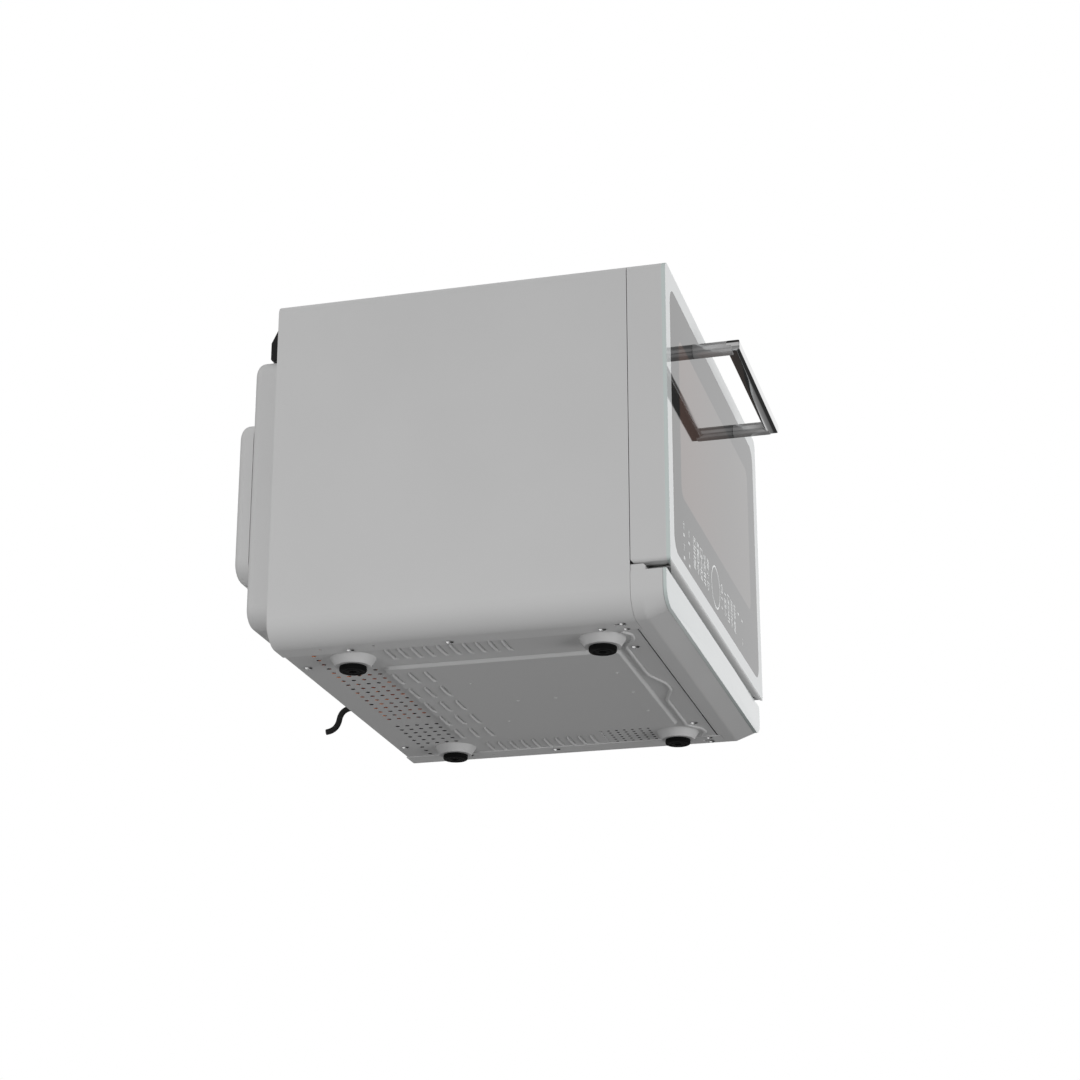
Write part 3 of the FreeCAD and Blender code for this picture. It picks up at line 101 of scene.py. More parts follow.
class Shader:
    """A node tree, filled by one method that adds a node of any kind."""

    def __init__(self, tree):
        self.tree = tree
        tree.nodes.clear()

    def node(self, kind, settings=None, inputs=None, output=0):
        made = self.tree.nodes.new(kind)
        for key, value in (settings or {}).items():
            setattr(made, key, value)
        for key, value in (inputs or {}).items():
            if isinstance(value, Link):
                self.tree.links.new(value.socket, made.inputs[key])
            else:
                made.inputs[key].default_value = value
        return Link(self, made.outputs[output]) if made.outputs else made

    def math(self, operation, first, second=0.0):
        return self.node("ShaderNodeMath", {"operation": operation}, {0: first, 1: second})

    def mix(self, factor, first, second):
        """A colour between two colours."""
        return self.node("ShaderNodeMix", {"data_type": "RGBA"}, {0: factor, 6: first, 7: second}, 2)

    def place(self, kind="Object"):
        """The x, y and z of the point in the oven's frame, or of the surface's own normal."""
        coordinates = self.node("ShaderNodeTexCoord", None, None, kind)
        parts = self.node("ShaderNodeSeparateXYZ", None, {0: coordinates})
        return [Link(self, parts.socket.node.outputs[axis]) for axis in range(3)]

    def noise(self, scale, detail=3.0, stretch=(1.0, 1.0, 1.0)):
        """Grey noise with features of about 1 / scale metres, stretched along an axis."""
        coordinates = self.node("ShaderNodeTexCoord", None, None, "Object")
        scaled = self.node("ShaderNodeMapping", None, {0: coordinates, "Scale": stretch})
        return self.node("ShaderNodeTexNoise", None, {"Vector": scaled, "Scale": scale, "Detail": detail})

    def bump(self, height, distance, strength=1.0):
        return self.node("ShaderNodeBump", None,
                         {"Height": height, "Distance": distance, "Strength": strength})

    def surface(self, **inputs):
        """The principled surface; underscores in an input's name stand for spaces."""
        named = {key.replace("_", " "): value for key, value in inputs.items()}
        shade = self.node("ShaderNodeBsdfPrincipled", None, named)
        self.node("ShaderNodeOutputMaterial", None, {"Surface": shade})


def finish_named(name):
    """A new material and its empty node tree."""
    material = bpy.data.materials.new(name)
    material.use_nodes = True
    return material, Shader(material.node_tree)


NEUTRAL = (1.0, 1.0, 1.0)


def colour(level, tint=NEUTRAL):
    """A grey level times a tint, opaque."""
    return (level * tint[0], level * tint[1], level * tint[2], 1.0)


def rounded_frame(x, z, centre, half, radius):
    """Distance to a rounded rectangle: negative inside it, in metres."""
    across = abs(x - centre[0]) - (half[0] - radius)
    up = abs(z - centre[1]) - (half[1] - radius)
    corner = (across.above(0.0) * across.above(0.0) + up.above(0.0) * up.above(0.0)).root()
    return corner + across.above(up).below(0.0) - radius


# Finishes
COAT_GLOSS = 0.4


def satin_coat(shader, level, tint=NEUTRAL):
    """A coat's tone and change of gloss, which drift slowly over it, and its fine orange peel."""
    peel = shader.noise(900.0, 2.0)
    drift = shader.noise(9.0, 3.0)
    tone = shader.mix(drift, colour(level * 0.965, tint), colour(level * 1.03, tint))
    return tone, (drift - 0.5) * 0.12, peel


def painted(name, level, tint, roughness, grain):
    """Satin coat with a bump of orange peel."""
    material, shader = finish_named(name)
    tone, matt, peel = satin_coat(shader, level, tint)
    shader.surface(Base_Color=tone, Roughness=roughness + matt, Normal=shader.bump(peel, grain),
                   Specular_IOR_Level=COAT_GLOSS)
    return material


# Zones of the base whose punched holes get painted shade on their walls, each from 0 to 1 between two places
# in m
LIP_SIDE = (0.2008, 0.2012)
REAR_FIELD = (FRONT + 0.318, FRONT + 0.322)
PATCH_SIDE = (0.119, 0.121)
PATCH_BACK = (FRONT + 0.160, FRONT + 0.162)
PLATE_FACE = (0.01425, 0.01435)
LIP_FACE = (0.01325, 0.01335)
WARM_SIDE = (0.03, 0.08)
# Parts of the normal and of the noise at which a face counts as a hole's wall, the painted glow shows and the
# painted glow pales
UPRIGHT = (0.25, 0.45)
GLOW_SPOTS = (0.40, 0.56)
GLOW_TURN = (0.4, 0.6)
# Painted glow of the warm inside seen through the holes, deep and pale, then the painted shade on the holes'
# walls
GLOW_DEEP = (0.50, 0.13, 0.07, 1.0)
GLOW_PALE = (0.85, 0.34, 0.17, 1.0)
HOLE_SHADE = (0.03, 0.03, 0.03, 1.0)


def base_coat(name, level):
    """Coated sheet whose punched holes have painted shade on their walls, and a painted orange glow of the
    warm inside at the rear left.
    """
    material, shader = finish_named(name)
    tone, matt, peel = satin_coat(shader, level)
    x, y, z = shader.place()
    upright = 1.0 - abs(shader.place("Normal")[2]).ramp(*UPRIGHT)
    outside = abs(x).ramp(*LIP_SIDE)
    rear = y.ramp(*REAR_FIELD)
    patch = x.ramp(*PATCH_SIDE) * (1.0 - y.ramp(*PATCH_BACK))
    # Painted shade: upright faces of the holes in the rear field, the patch and the lips are darkened
    shaded_hole_walls = upright * ((rear + patch).below(1.0) * z.ramp(*PLATE_FACE)
                         + outside * z.ramp(*LIP_FACE)).below(1.0)
    # Painted glow: at the rear left, spots on the holes' walls are orange instead of shaded
    warm = rear * (1.0 - x.ramp(*WARM_SIDE))
    glow_spots = shader.noise(130.0, 1.0).ramp(*GLOW_SPOTS)
    glow = shader.mix(shader.noise(60.0, 1.0).ramp(*GLOW_TURN), GLOW_DEEP, GLOW_PALE)
    hole_shade_and_glow = shader.mix(warm * glow_spots, HOLE_SHADE, glow)
    shader.surface(Base_Color=shader.mix(shaded_hole_walls, tone, hole_shade_and_glow), Roughness=0.45 + matt,
                   Normal=shader.bump(peel, 0.00004), Specular_IOR_Level=COAT_GLOSS)
    return material


def rolled_metal(name, level, tint, roughness, stretch):
    """Sheet or bar with fine streaks along its rolling direction."""
    material, shader = finish_named(name)
    streak = shader.noise(160.0, 4.0, stretch)
    cloud = shader.noise(14.0, 3.0)
    tone = shader.mix(streak, colour(level * 0.85, tint), colour(level * 1.1, tint))
    shader.surface(Base_Color=tone, Metallic=1.0,
                   Roughness=roughness + (cloud - 0.5) * 0.16 + (streak - 0.5) * 0.1,
                   Normal=shader.bump(streak, 0.00005))
    return material


def moulded(name, level, tint, roughness, scale=1400.0, depth=0.00006, gloss=0.5):
    """Plastic or rubber with a fine moulded grain and a slow drift of gloss."""
    material, shader = finish_named(name)
    grain = shader.noise(scale, 2.0)
    drift = shader.noise(22.0, 3.0)
    tone = shader.mix(drift, colour(level * 0.93, tint), colour(level * 1.06, tint))
    shader.surface(Base_Color=tone, Roughness=roughness + (drift - 0.5) * 0.14,
                   Normal=shader.bump(grain, depth), Specular_IOR_Level=gloss)
    return material


def polished_chrome(name, level=0.86, roughness=0.03, metallic=1.0):
    """Bright plating with faint wiped smears in its gloss; less than full metal gives it a haze."""
    material, shader = finish_named(name)
    smear = shader.noise(35.0, 4.0, (1.0, 1.0, 2.5))
    tone = shader.mix(smear, colour(level * 0.98, (0.99, 0.99, 1.0)), colour(level, (1.0, 1.0, 0.995)))
    shader.surface(Base_Color=tone, Metallic=metallic,
                   Roughness=roughness + smear.ramp(0.45, 0.8) * 0.03,
                   Normal=shader.bump(smear, 0.00002, 0.3))
    return material


# Colours of the printed glass, with painted light that makes the window lighter and warmer at its left, and
# its rounded field and window: middle, half size and radius in m
GLASS_GREEN = (0.66, 0.73, 0.715, 1.0)
PRINT_WHITE = (0.765, 0.79, 0.795)
TRAY_WHITE = (0.815, 0.845, 0.85)
FIELD_GREY = (0.030, 0.031, 0.031, 1.0)
LIT_WINDOW_LEFT = (0.128, 0.080, 0.066, 1.0)
SHADED_WINDOW_RIGHT = (0.075, 0.062, 0.056, 1.0)
FIELD = ((0.0, 0.22225), (0.230, 0.14075), 0.019)
WINDOW = ((0.0, 0.237), (0.190, 0.085), 0.012)
# Soft edges of the print in m, where the window's painted light turns from left to right, the normal's share
# on a cut edge, and how far the window is see-through
FIELD_EDGE = (-0.0003, 0.0003)
WINDOW_EDGE = (-0.0006, 0.0006)
WINDOW_TURN = (-0.19, 0.1)
CUT_EDGE = (0.35, 0.65)
WINDOW_SLANT = (0.3, 0.8)
WINDOW_CLEAR = 0.62
WINDOW_COAT = 0.14


def printed_glass(name, white, with_window):
    """Plate glass printed white inside, with green cut edges.

    The door's pane also has a dark field within the white border, and a see-through window in it."""
    material, shader = finish_named(name)
    edge = 1.0 - abs(shader.place("Normal")[1]).ramp(*CUT_EDGE)
    drift = shader.noise(12.0, 3.0)
    tone = shader.mix(drift, colour(0.975, white), colour(1.02, white))
    settings = {"Specular_IOR_Level": 0.5}
    if with_window:
        x, _, z = shader.place()
        field = 1.0 - rounded_frame(x, z, *FIELD).ramp(*FIELD_EDGE)
        window = 1.0 - rounded_frame(x, z, *WINDOW).ramp(*WINDOW_EDGE)
        # Painted light: the see-through window's colour is lighter and warmer at the left and darker at the
        # right
        pane = shader.mix(x.ramp(*WINDOW_TURN), LIT_WINDOW_LEFT, SHADED_WINDOW_RIGHT)
        tone = shader.mix(field, tone, FIELD_GREY)
        tone = shader.mix(window, tone, pane)
        facing = shader.node("ShaderNodeLayerWeight", None, {"Blend": 0.5}, "Facing")
        settings["Alpha"] = 1.0 - window * (1.0 - edge) * (1.0 - facing.ramp(*WINDOW_SLANT)) * WINDOW_CLEAR
        settings["Coat_Weight"] = window * WINDOW_COAT
        settings["Coat_Roughness"] = 0.02
    shader.surface(Base_Color=shader.mix(edge, tone, GLASS_GREEN), Roughness=0.015 + drift * 0.02,
                   **settings)
    return material


def clear_glass(name, tint, alpha, roughness=0.02):
    """Thin glass: tinted body that mostly shows what is behind it."""
    material, shader = finish_named(name)
    haze = shader.noise(18.0, 3.0)
    shader.surface(Base_Color=tint, Roughness=roughness + haze * 0.03, Alpha=alpha + haze * 0.06,
                   Specular_IOR_Level=0.5)
    return material


WOOL_DARK = (0.34, 0.12, 0.05, 1.0)
WOOL_PALE = (0.80, 0.40, 0.20, 1.0)
BOARD_GREEN = (0.02, 0.12, 0.05, 1.0)
TRACK_GREEN = (0.05, 0.24, 0.11, 1.0)


def fibre_blanket(name):
    """Mineral wool: rusty orange with felted fibres."""
    material, shader = finish_named(name)
    fibre = shader.noise(240.0, 5.0, (1.0, 0.25, 1.0))
    tone = shader.mix(fibre, WOOL_DARK, WOOL_PALE)
    shader.surface(Base_Color=tone, Roughness=0.95, Normal=shader.bump(fibre, 0.001))
    return material


def circuit_board(name):
    """Solder mask with a faint pattern of tracks."""
    material, shader = finish_named(name)
    coordinates = shader.node("ShaderNodeTexCoord", None, None, "Object")
    tracks = shader.node("ShaderNodeTexVoronoi", {"feature": "F1", "distance": "MANHATTAN"},
                         {"Vector": coordinates, "Scale": 120.0})
    tone = shader.mix(tracks.ramp(0.3, 0.36), BOARD_GREEN, TRACK_GREEN)
    shader.surface(Base_Color=tone, Roughness=0.4, Normal=shader.bump(tracks, 0.00008))
    return material


FINISH = {
    "cabinet_paint": painted("cabinet_paint", 0.70, NEUTRAL, 0.42, 0.00003),
    "galvanised_sheet": base_coat("base_coat", 0.64),
    "rubber_black": moulded("foot_rubber", 0.006, NEUTRAL, 0.75, gloss=0.12),
    "zinc_screw": polished_chrome("plated_screw", 0.80, 0.09),
    "black_plastic": moulded("black_plastic", 0.014, (1.0, 1.0, 1.05), 0.48),
    "cavity_steel": rolled_metal("cavity_steel", 0.52, (1.0, 0.97, 0.93), 0.32, (1.0, 0.06, 1.0)),
    "insulation_wool": fibre_blanket("mineral_wool"),
    "chrome_wire": polished_chrome("rack_chrome", 0.78, 0.12),
    "heater_sheath": rolled_metal("heater_sheath", 0.16, (1.0, 0.93, 0.86), 0.45, (1.0, 0.1, 1.0)),
    "lamp_glass": clear_glass("lamp_glass", (0.92, 0.86, 0.70, 1.0), 0.75, 0.25),
    "ceramic": moulded("lamp_ceramic", 0.72, (1.0, 0.97, 0.9), 0.7),
    "silicone": moulded("gasket_silicone", 0.07, (1.0, 0.98, 0.98), 0.5),
    "motor_steel": rolled_metal("motor_steel", 0.32, (1.0, 1.0, 1.02), 0.4, (0.3, 1.0, 0.3)),
    "aluminium_wheel": rolled_metal("fan_aluminium", 0.70, NEUTRAL, 0.3, (1.0, 0.2, 1.0)),
    "board_green": circuit_board("circuit_board"),
    "hinge_steel": rolled_metal("hinge_steel", 0.58, (1.0, 1.0, 0.98), 0.3, (0.2, 1.0, 1.0)),
    "door_plastic": painted("door_coat", 0.70, NEUTRAL, 0.40, 0.00002),
    "front_glass": printed_glass("door_glass", PRINT_WHITE, True),
    "clear_glass": clear_glass("inner_pane", (0.10, 0.095, 0.09, 1.0), 0.25),
    "chrome_handle": polished_chrome("handle_chrome"),
    "display_black": moulded("display_black", 0.01, (1.0, 1.0, 1.1), 0.12),
    "tray_plastic": painted("tray_coat", 0.70, NEUTRAL, 0.40, 0.00002),
    "cord_black": moulded("cord_rubber", 0.008, NEUTRAL, 0.42, 2200.0, 0.00003),
}
TRAY_GLASS = printed_glass("tray_glass", TRAY_WHITE, False)
PANEL_INK = moulded("panel_ink", 0.92, (0.98, 1.0, 1.0), 0.25, 3000.0, 0.00001)
REAR_COAT = painted("rear_coat", 0.62, NEUTRAL, 0.45, 0.00003)
POST_CHROME = polished_chrome("post_chrome", metallic=0.45)


def dress(piece, material):
    """The piece with that material alone."""
    piece.data.materials.clear()
    piece.data.materials.append(material)
    return piece


for part in frame["record"]["subparts"]:
    dress(nodes[part["node"]], FINISH[part["material_slot"]])
dress(nodes["rear_panel"], REAR_COAT)


# Pieces computed as whole arrays
def mesh_piece(name, points, faces, body, material, closed=True):
    """A piece from its points and faces; a closed one has its seams merged and faces turned outwards."""
    mesh = bpy.data.meshes.new(name)
    mesh.from_pydata(points.reshape(-1, 3).tolist(), [], faces.tolist())
    if closed:
        form = bmesh.new()
        form.from_mesh(mesh)
        bmesh.ops.remove_doubles(form, verts=form.verts, dist=1e-7)
        bmesh.ops.recalc_face_normals(form, faces=form.faces)
        form.to_mesh(mesh)
        form.free()
    mesh.validate()
    mesh.update()
    piece = bpy.data.objects.new(name, mesh)
    bpy.context.scene.collection.objects.link(piece)
    dress(piece, material)
    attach(piece, body)
    return piece


def grid_faces(rows, columns, wrap):
    """Quads of a grid of points; with wrap, the last column joins the first."""
    spans = columns if wrap else columns - 1
    row, column = np.meshgrid(np.arange(rows - 1), np.arange(spans), indexing="ij")
    following = (column + 1) % columns
    return np.stack([row * columns + column, row * columns + following,
                     (row + 1) * columns + following, (row + 1) * columns + column], -1).reshape(-1, 4)


def repeated(points, faces, places):
    """Copies of one surface, moved to each place."""
    count = points.reshape(-1, 3).shape[0]
    moved = points.reshape(1, -1, 3) + np.asarray(places)[:, None, :]
    numbered = faces[None] + (np.arange(len(places)) * count)[:, None, None]
    return moved.reshape(-1, 3), numbered.reshape(-1, faces.shape[1])


def smooth(piece, degrees):
    """The piece shaded smooth, apart from edges sharper than that angle."""
    piece.data.polygons.foreach_set("use_smooth", np.ones(len(piece.data.polygons), bool))
    piece.data.set_sharp_from_angle(angle=math.radians(degrees))
    return piece


def turned(profile, segments):
    """A profile of (radius, height) pairs turned about the upright axis."""
    angle = np.linspace(0.0, 2.0 * np.pi, segments, endpoint=False)
    radius, height = np.asarray(profile).T
    points = np.stack([radius[:, None] * np.cos(angle), radius[:, None] * np.sin(angle),
                       np.broadcast_to(height[:, None], (len(height), segments))], -1)
    return points, grid_faces(len(height), segments, True)


# Bow handle: changes from the solids' sections, and the crowning of its sides, in mm
BAR_RAISED = 5.5
BAR_DEEPENED = 4.2
BAR_POWER = 4.5
BAR_EDGE = 0.5
BAR_CROWN = 7.0
BAR_SEGMENTS = 128
POST_RAISED = 4.5
POST_REACH = 1.5
POST_POWER = 3.6
POST_EDGE = 0.3


def crowned_bar(length, half, power, edge, crown=0.0):
    """A superellipse carried straight along the first axis.

    Its section is |u / a|^n + |v / b|^n = 1; at each end it draws in by a quarter circle of the
    edge radius and closes to a point. With a crown, the ends also fall back towards the top and
    bottom, as the side of a post's superellipse of that half width does."""
    bend = np.linspace(0.0, np.pi / 2, 8)
    cap = np.linspace(0.0, 1.0, 15)[:-1]
    rim = np.array(half)[:, None] - edge
    grow = np.concatenate([rim * cap, rim + edge * np.sin(bend)], 1)
    grow = np.concatenate([grow, grow[:, ::-1]], 1)
    along = np.concatenate([0 * cap, edge * (1 - np.cos(bend))])
    along = np.concatenate([along, length - along[::-1]])
    angle = np.linspace(0.0, 2 * np.pi, BAR_SEGMENTS, endpoint=False)
    u = np.sign(np.cos(angle)) * np.abs(np.cos(angle)) ** (2 / power)
    v = np.sign(np.sin(angle)) * np.abs(np.sin(angle)) ** (2 / power)
    tall = np.minimum(np.abs(grow[1][:, None] * v) / half[1], 1.0)
    fall = crown * (1 - (1 - tall ** POST_POWER) ** (1 / POST_POWER))
    points = np.stack([along[:, None] + fall * (1 - 2 * along[:, None] / length),
                       grow[0][:, None] * u, grow[1][:, None] * v], -1)
    return points, grid_faces(len(along), BAR_SEGMENTS, True)


def bow_handle():
    """Bar and two posts with gently crowned sides, as pressed and plated tube has.

    Their undersides are raised from the solids', and the bar is deepened towards the door."""
    low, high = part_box("handle_bar")
    low.z += BAR_RAISED * MM
    high.y += BAR_DEEPENED * MM
    middle = (low + high) / 2
    points, faces = crowned_bar(high.x - low.x, (middle.y - low.y, middle.z - low.z), BAR_POWER,
                                BAR_EDGE * MM, BAR_CROWN * MM)
    bar = mesh_piece("bow_bar", points + np.array([low.x, middle.y, middle.z]), faces, "door",
                     FINISH["chrome_handle"])
    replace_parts(smooth(bar, 50), "handle_bar")
    for side in ("left", "right"):
        low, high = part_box("handle_post_" + side)
        low.z += POST_RAISED * MM
        middle = (low + high) / 2
        points, faces = crowned_bar(high.y - low.y + POST_REACH * MM,
                                    (middle.x - low.x, middle.z - low.z), POST_POWER, POST_EDGE * MM)
        points = points[..., [1, 0, 2]] + np.array([middle.x, low.y - POST_REACH * MM, middle.z])
        post = mesh_piece("bow_post_" + side, points, faces, "door", POST_CHROME)
        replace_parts(smooth(post, 50), "handle_post_" + side)


bow_handle()


# Feet: (radius, height) pairs in mm, those of the rim counted from the foot's own radius
FOOT_RADIUS = 14.0
FOOT_TOP = 5.5
FOOT_SEGMENTS = 64
FOOT_RIM = ((-1.0, FOOT_TOP), (-0.3, 5.2), (0.0, 4.5), (0.0, 2.0), (-0.15, 1.2), (-0.6, 0.5),
            (-1.3, 0.12), (-2.1, 0.0))
FOOT_SOLE = ((9.8, 0.0), (9.5, 0.5), (7.9, 0.5), (7.6, 0.0), (4.3, 0.0), (3.7, 0.6), (3.4, 2.6), (0.0, 2.6))


def rubber_feet():
    """Pads with a rounded rim, a moulded groove and a screw well in the sole, turned from one profile."""
    low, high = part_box("feet")
    rim = [(FOOT_RADIUS + offset, height) for offset, height in FOOT_RIM]
    profile = np.array([(0.0, FOOT_TOP), *rim, *FOOT_SOLE])
    points, faces = turned(profile * MM, FOOT_SEGMENTS)
    inset = FOOT_RADIUS * MM
    places = [(x, y, low.z) for x in (low.x + inset, high.x - inset) for y in (low.y + inset, high.y - inset)]
    points, faces = repeated(points, faces, places)
    pads = mesh_piece("foot_pads", points, faces, "cabinet", FINISH["rubber_black"])
    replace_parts(smooth(pads, 40), "feet")


rubber_feet()


# Screw heads: sizes, and places from the middle and from the door's front, in mm
HEAD_RADIUS = 4.0
HEAD_HEIGHT = 2.0
SMALL_HEAD_RADIUS = 3.2
SMALL_HEAD_HEIGHT = 1.7
LIP_DROP = 1.0
LIP_SCREWS = ((209.5, 77), (209.5, 232), (209.5, 335))
PLATE_SCREWS = ((144, 59), (160, 397.5))
SLOT_SCREWS = ((221.8, 54.2), (205.2, 53.8))
REAR_TOP_SCREWS = (75, 210)
REAR_LOW_SCREW = 200
HEAD_SEGMENTS = 64
HEAD_RINGS = 22
FACING_DOWN = np.array([1.0, 1.0, -1.0])
# The dome's rim and the cross, as shares of the head's height and radius
DOME_RIM = 0.35
CROSS_HALF_WIDTH = 0.17
CROSS_FLANK = 0.06
CROSS_REACH = 0.66
CROSS_FADE = 0.12
CROSS_DEPTH = 0.55


def screw_head(radius, height):
    """A dome 1 - (r / R)^3 high with a cross sunk in it.

    The cross is where either plane coordinate is small, fading out towards the rim, and the dome
    turns down to its seat at the rim."""
    out = np.concatenate([np.linspace(0.0, 1.0, HEAD_RINGS), [1.0]])[:, None]
    angle = np.linspace(0.0, 2 * np.pi, HEAD_SEGMENTS, endpoint=False)[None, :]
    x, y = out * np.cos(angle), out * np.sin(angle)
    dome = DOME_RIM + (1 - DOME_RIM) * (1 - out ** 3)
    arm = np.clip((CROSS_HALF_WIDTH - np.minimum(np.abs(x), np.abs(y))) / CROSS_FLANK, 0.0, 1.0)
    reach = np.clip((CROSS_REACH - out) / CROSS_FADE, 0.0, 1.0)
    rise = np.broadcast_to(dome, x.shape) - CROSS_DEPTH * arm * reach
    rise[-1] = 0.0
    points = np.stack([x * radius, y * radius, rise * height], -1)
    return points, grid_faces(out.shape[0], HEAD_SEGMENTS, True)


def screws():
    """Cross-head screws under the base and on the back, each seated on its sheet."""
    points, faces = screw_head(HEAD_RADIUS * MM, HEAD_HEIGHT * MM)
    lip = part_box("base_screws")[0].z + HEAD_HEIGHT * MM
    sheet = lip + LIP_DROP * MM
    seats = [(x, y, lip) for x, y in LIP_SCREWS] + [(x, y, sheet) for x, y in PLATE_SCREWS]
    under = [(side * x * MM, FRONT + y * MM, z) for side in (-1, 1) for x, y, z in seats]
    spread, numbered = repeated(points * FACING_DOWN, faces, under)
    base = mesh_piece("base_screw_heads", spread, numbered, "cabinet", FINISH["zinc_screw"])
    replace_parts(smooth(base, 40), "base_screws")
    small, small_faces = screw_head(SMALL_HEAD_RADIUS * MM, SMALL_HEAD_HEIGHT * MM)
    slots = [(side * x * MM, FRONT + y * MM, lip) for side in (-1, 1) for x, y in SLOT_SCREWS]
    spread, numbered = repeated(small * FACING_DOWN, small_faces, slots)
    heads = mesh_piece("slot_screw_heads", spread, numbered, "cabinet", FINISH["zinc_screw"])
    smooth(heads, 40)
    low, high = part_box("rear_screws")
    top, bottom, seat = high.z - HEAD_RADIUS * MM, low.z + HEAD_RADIUS * MM, low.y
    seats = [(x, top) for x in REAR_TOP_SCREWS] + [(REAR_LOW_SCREW, bottom)]
    behind = [(side * x * MM, seat, z) for side in (-1, 1) for x, z in seats]
    spread, numbered = repeated(points[..., [0, 2, 1]], faces, behind)
    back = mesh_piece("rear_screw_heads", spread, numbered, "cabinet", FINISH["zinc_screw"])
    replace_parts(smooth(back, 40), "rear_screws")


screws()


# Undersides of the base's plate and pan, and the pan's pressed dimples, in mm
PLATE_LEVEL = 14.3
PAN_LEVEL = 10.9
DIMPLE_RADIUS = 2.6
DIMPLE_HEIGHT = 1.1
DIMPLE_SEGMENTS = 32
DIMPLES = ((-74, 251), (74, 251), (0, 220), (0, 179), (-72, 95), (0, 95), (72, 95))


def dimples():
    """Small caps whose height falls as the square of the cosine from the middle to the rim."""
    share = np.linspace(0.0, 1.0, 9)
    profile = np.stack([DIMPLE_RADIUS * share, DIMPLE_HEIGHT * np.cos(share * np.pi / 2) ** 2], -1)
    points, faces = turned(profile * MM * np.array([1.0, -1.0]), DIMPLE_SEGMENTS)
    places = [(x * MM, FRONT + y * MM, PAN_LEVEL * MM) for x, y in DIMPLES]
    spread, numbered = repeated(points, faces[:, ::-1], places)
    caps = mesh_piece("pan_dimples", spread, numbered, "cabinet",
                      FINISH["galvanised_sheet"], closed=False)
    smooth(caps, 60)


dimples()


# Louvres: middles of the slots, and the section of the wall and rim behind each, in mm
LOUVRES = [(side * 182.5, 98.75 - 13.4 * row, PLATE_LEVEL) for side in (-1, 1) for row in range(10)]
LOUVRES += [(54.5 * column, 80.19 + 17.2 * row, PAN_LEVEL) for column in range(-2, 3) for row in range(3)]
LOUVRE_ACROSS = (0.45, 0.52, 0.59, 0.65, 0.72, 0.80, 0.90, 1.0, 1.0, 0.62, 0.45)
LOUVRE_RISE = (1.55, 1.7, 0.8, 0.0, -0.6, -1.0, -0.7, 0.0, 0.4, 2.2, 2.2)
LOUVRE_HALF_LENGTH = 21.5
LOUVRE_BOW = 6.4
LOUVRE_END = 0.2
LOUVRE_FRONT = 2.2
LOUVRE_STEPS = 33


def louvre_rims():
    """Back walls of the slots, whose foot bows back as the root of 1 - x^4 along the slot.

    The section comes out steeply from inside the slot to a rim proud of the sheet and falls to its
    foot; its back is inside the sheet. The rim's height is 1 - x^6."""
    share = np.linspace(-1.0, 1.0, LOUVRE_STEPS)[:, None]
    across, rise = np.array([LOUVRE_ACROSS]), np.array([LOUVRE_RISE])
    width = LOUVRE_END + LOUVRE_BOW * np.sqrt(1.0 - share ** 4)
    level = np.where(rise < 0.0, rise * (1.0 - share ** 6), rise)
    points = np.stack(np.broadcast_arrays(LOUVRE_HALF_LENGTH * share, width * across - LOUVRE_FRONT,
                                          level), -1)
    faces = grid_faces(LOUVRE_STEPS, len(LOUVRE_RISE), True)
    spread, numbered = repeated(points * MM, faces, np.array(LOUVRES) * MM)
    rims = mesh_piece("louvre_rims", spread, numbered, "cabinet",
                      FINISH["galvanised_sheet"])
    smooth(rims, 60)


louvre_rims()


# Drawn edge of the base's pan: centres of its rounded corners, and the step's section, in mm
PAN_HALF = (134.0, 115.5)
PAN_MIDDLE = -1.75
PAN_CORNER = 6.0
PAN_SEGMENTS = 48
STEP_RUN = 3.6
STEP_LOW = 10.86
STEP_RISE = 3.48
STEP_INSIDE = -0.6
STEP_FOOT = 10.95
STEP_TOP = 14.6


def pan_edge():
    """A smooth step from plate to pan, carried round the pan's rounded rectangle.

    Across the step the height is 3t^2 - 2t^3; the section closes inside the sheet."""
    share = np.linspace(0.0, 1.0, 11)
    offset = np.concatenate([[STEP_INSIDE], STEP_RUN * share, [STEP_RUN, STEP_INSIDE]])[:, None]
    step = STEP_LOW + STEP_RISE * (3 * share ** 2 - 2 * share ** 3)
    level = np.concatenate([[STEP_FOOT], step, [STEP_TOP, STEP_TOP]])[:, None]
    turn = np.linspace(0.0, 360.0, PAN_SEGMENTS, endpoint=False) + 180.0 / PAN_SEGMENTS
    angle = np.radians(turn)[None, :]
    out = (PAN_CORNER + offset) * np.array([np.cos(angle), np.sin(angle)])
    x = PAN_HALF[0] * np.sign(np.cos(angle)) + out[0]
    y = PAN_MIDDLE + PAN_HALF[1] * np.sign(np.sin(angle)) + out[1]
    points = np.stack(np.broadcast_arrays(x, y, level), -1) * MM
    rows = np.concatenate([points, points[:1]])
    edge = mesh_piece("pan_edge", rows, grid_faces(len(rows), PAN_SEGMENTS, True), "cabinet",
                      FINISH["galvanised_sheet"])
    smooth(edge, 50)


pan_edge()


# Drip tray: sheet with curled ends and a sloped nose, end walls, glass strip and heel, in mm
TRAY_RADIUS = 25.0
TRAY_WALL = 3.0
TRAY_GAP = 0.3
TRAY_FLAT = (100.0, 30.0)
NOSE_LIFT = 8.0
NOSE_LENGTH = 20.0
NOSE_FOLD = 2.0
WALL_INSET = 0.2
WALL_SETBACK = 0.05
PANE_BEVEL = 0.3
BEVEL_REACH = 20.0


def tray_limits():
    """Half width, top, bottom, front and back of the tray, which stops just short of the cabinet."""
    low, high = (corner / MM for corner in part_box("drip_tray"))
    return high.x, high.z, low.z, low.y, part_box("outer_wrap")[0].y / MM - TRAY_GAP


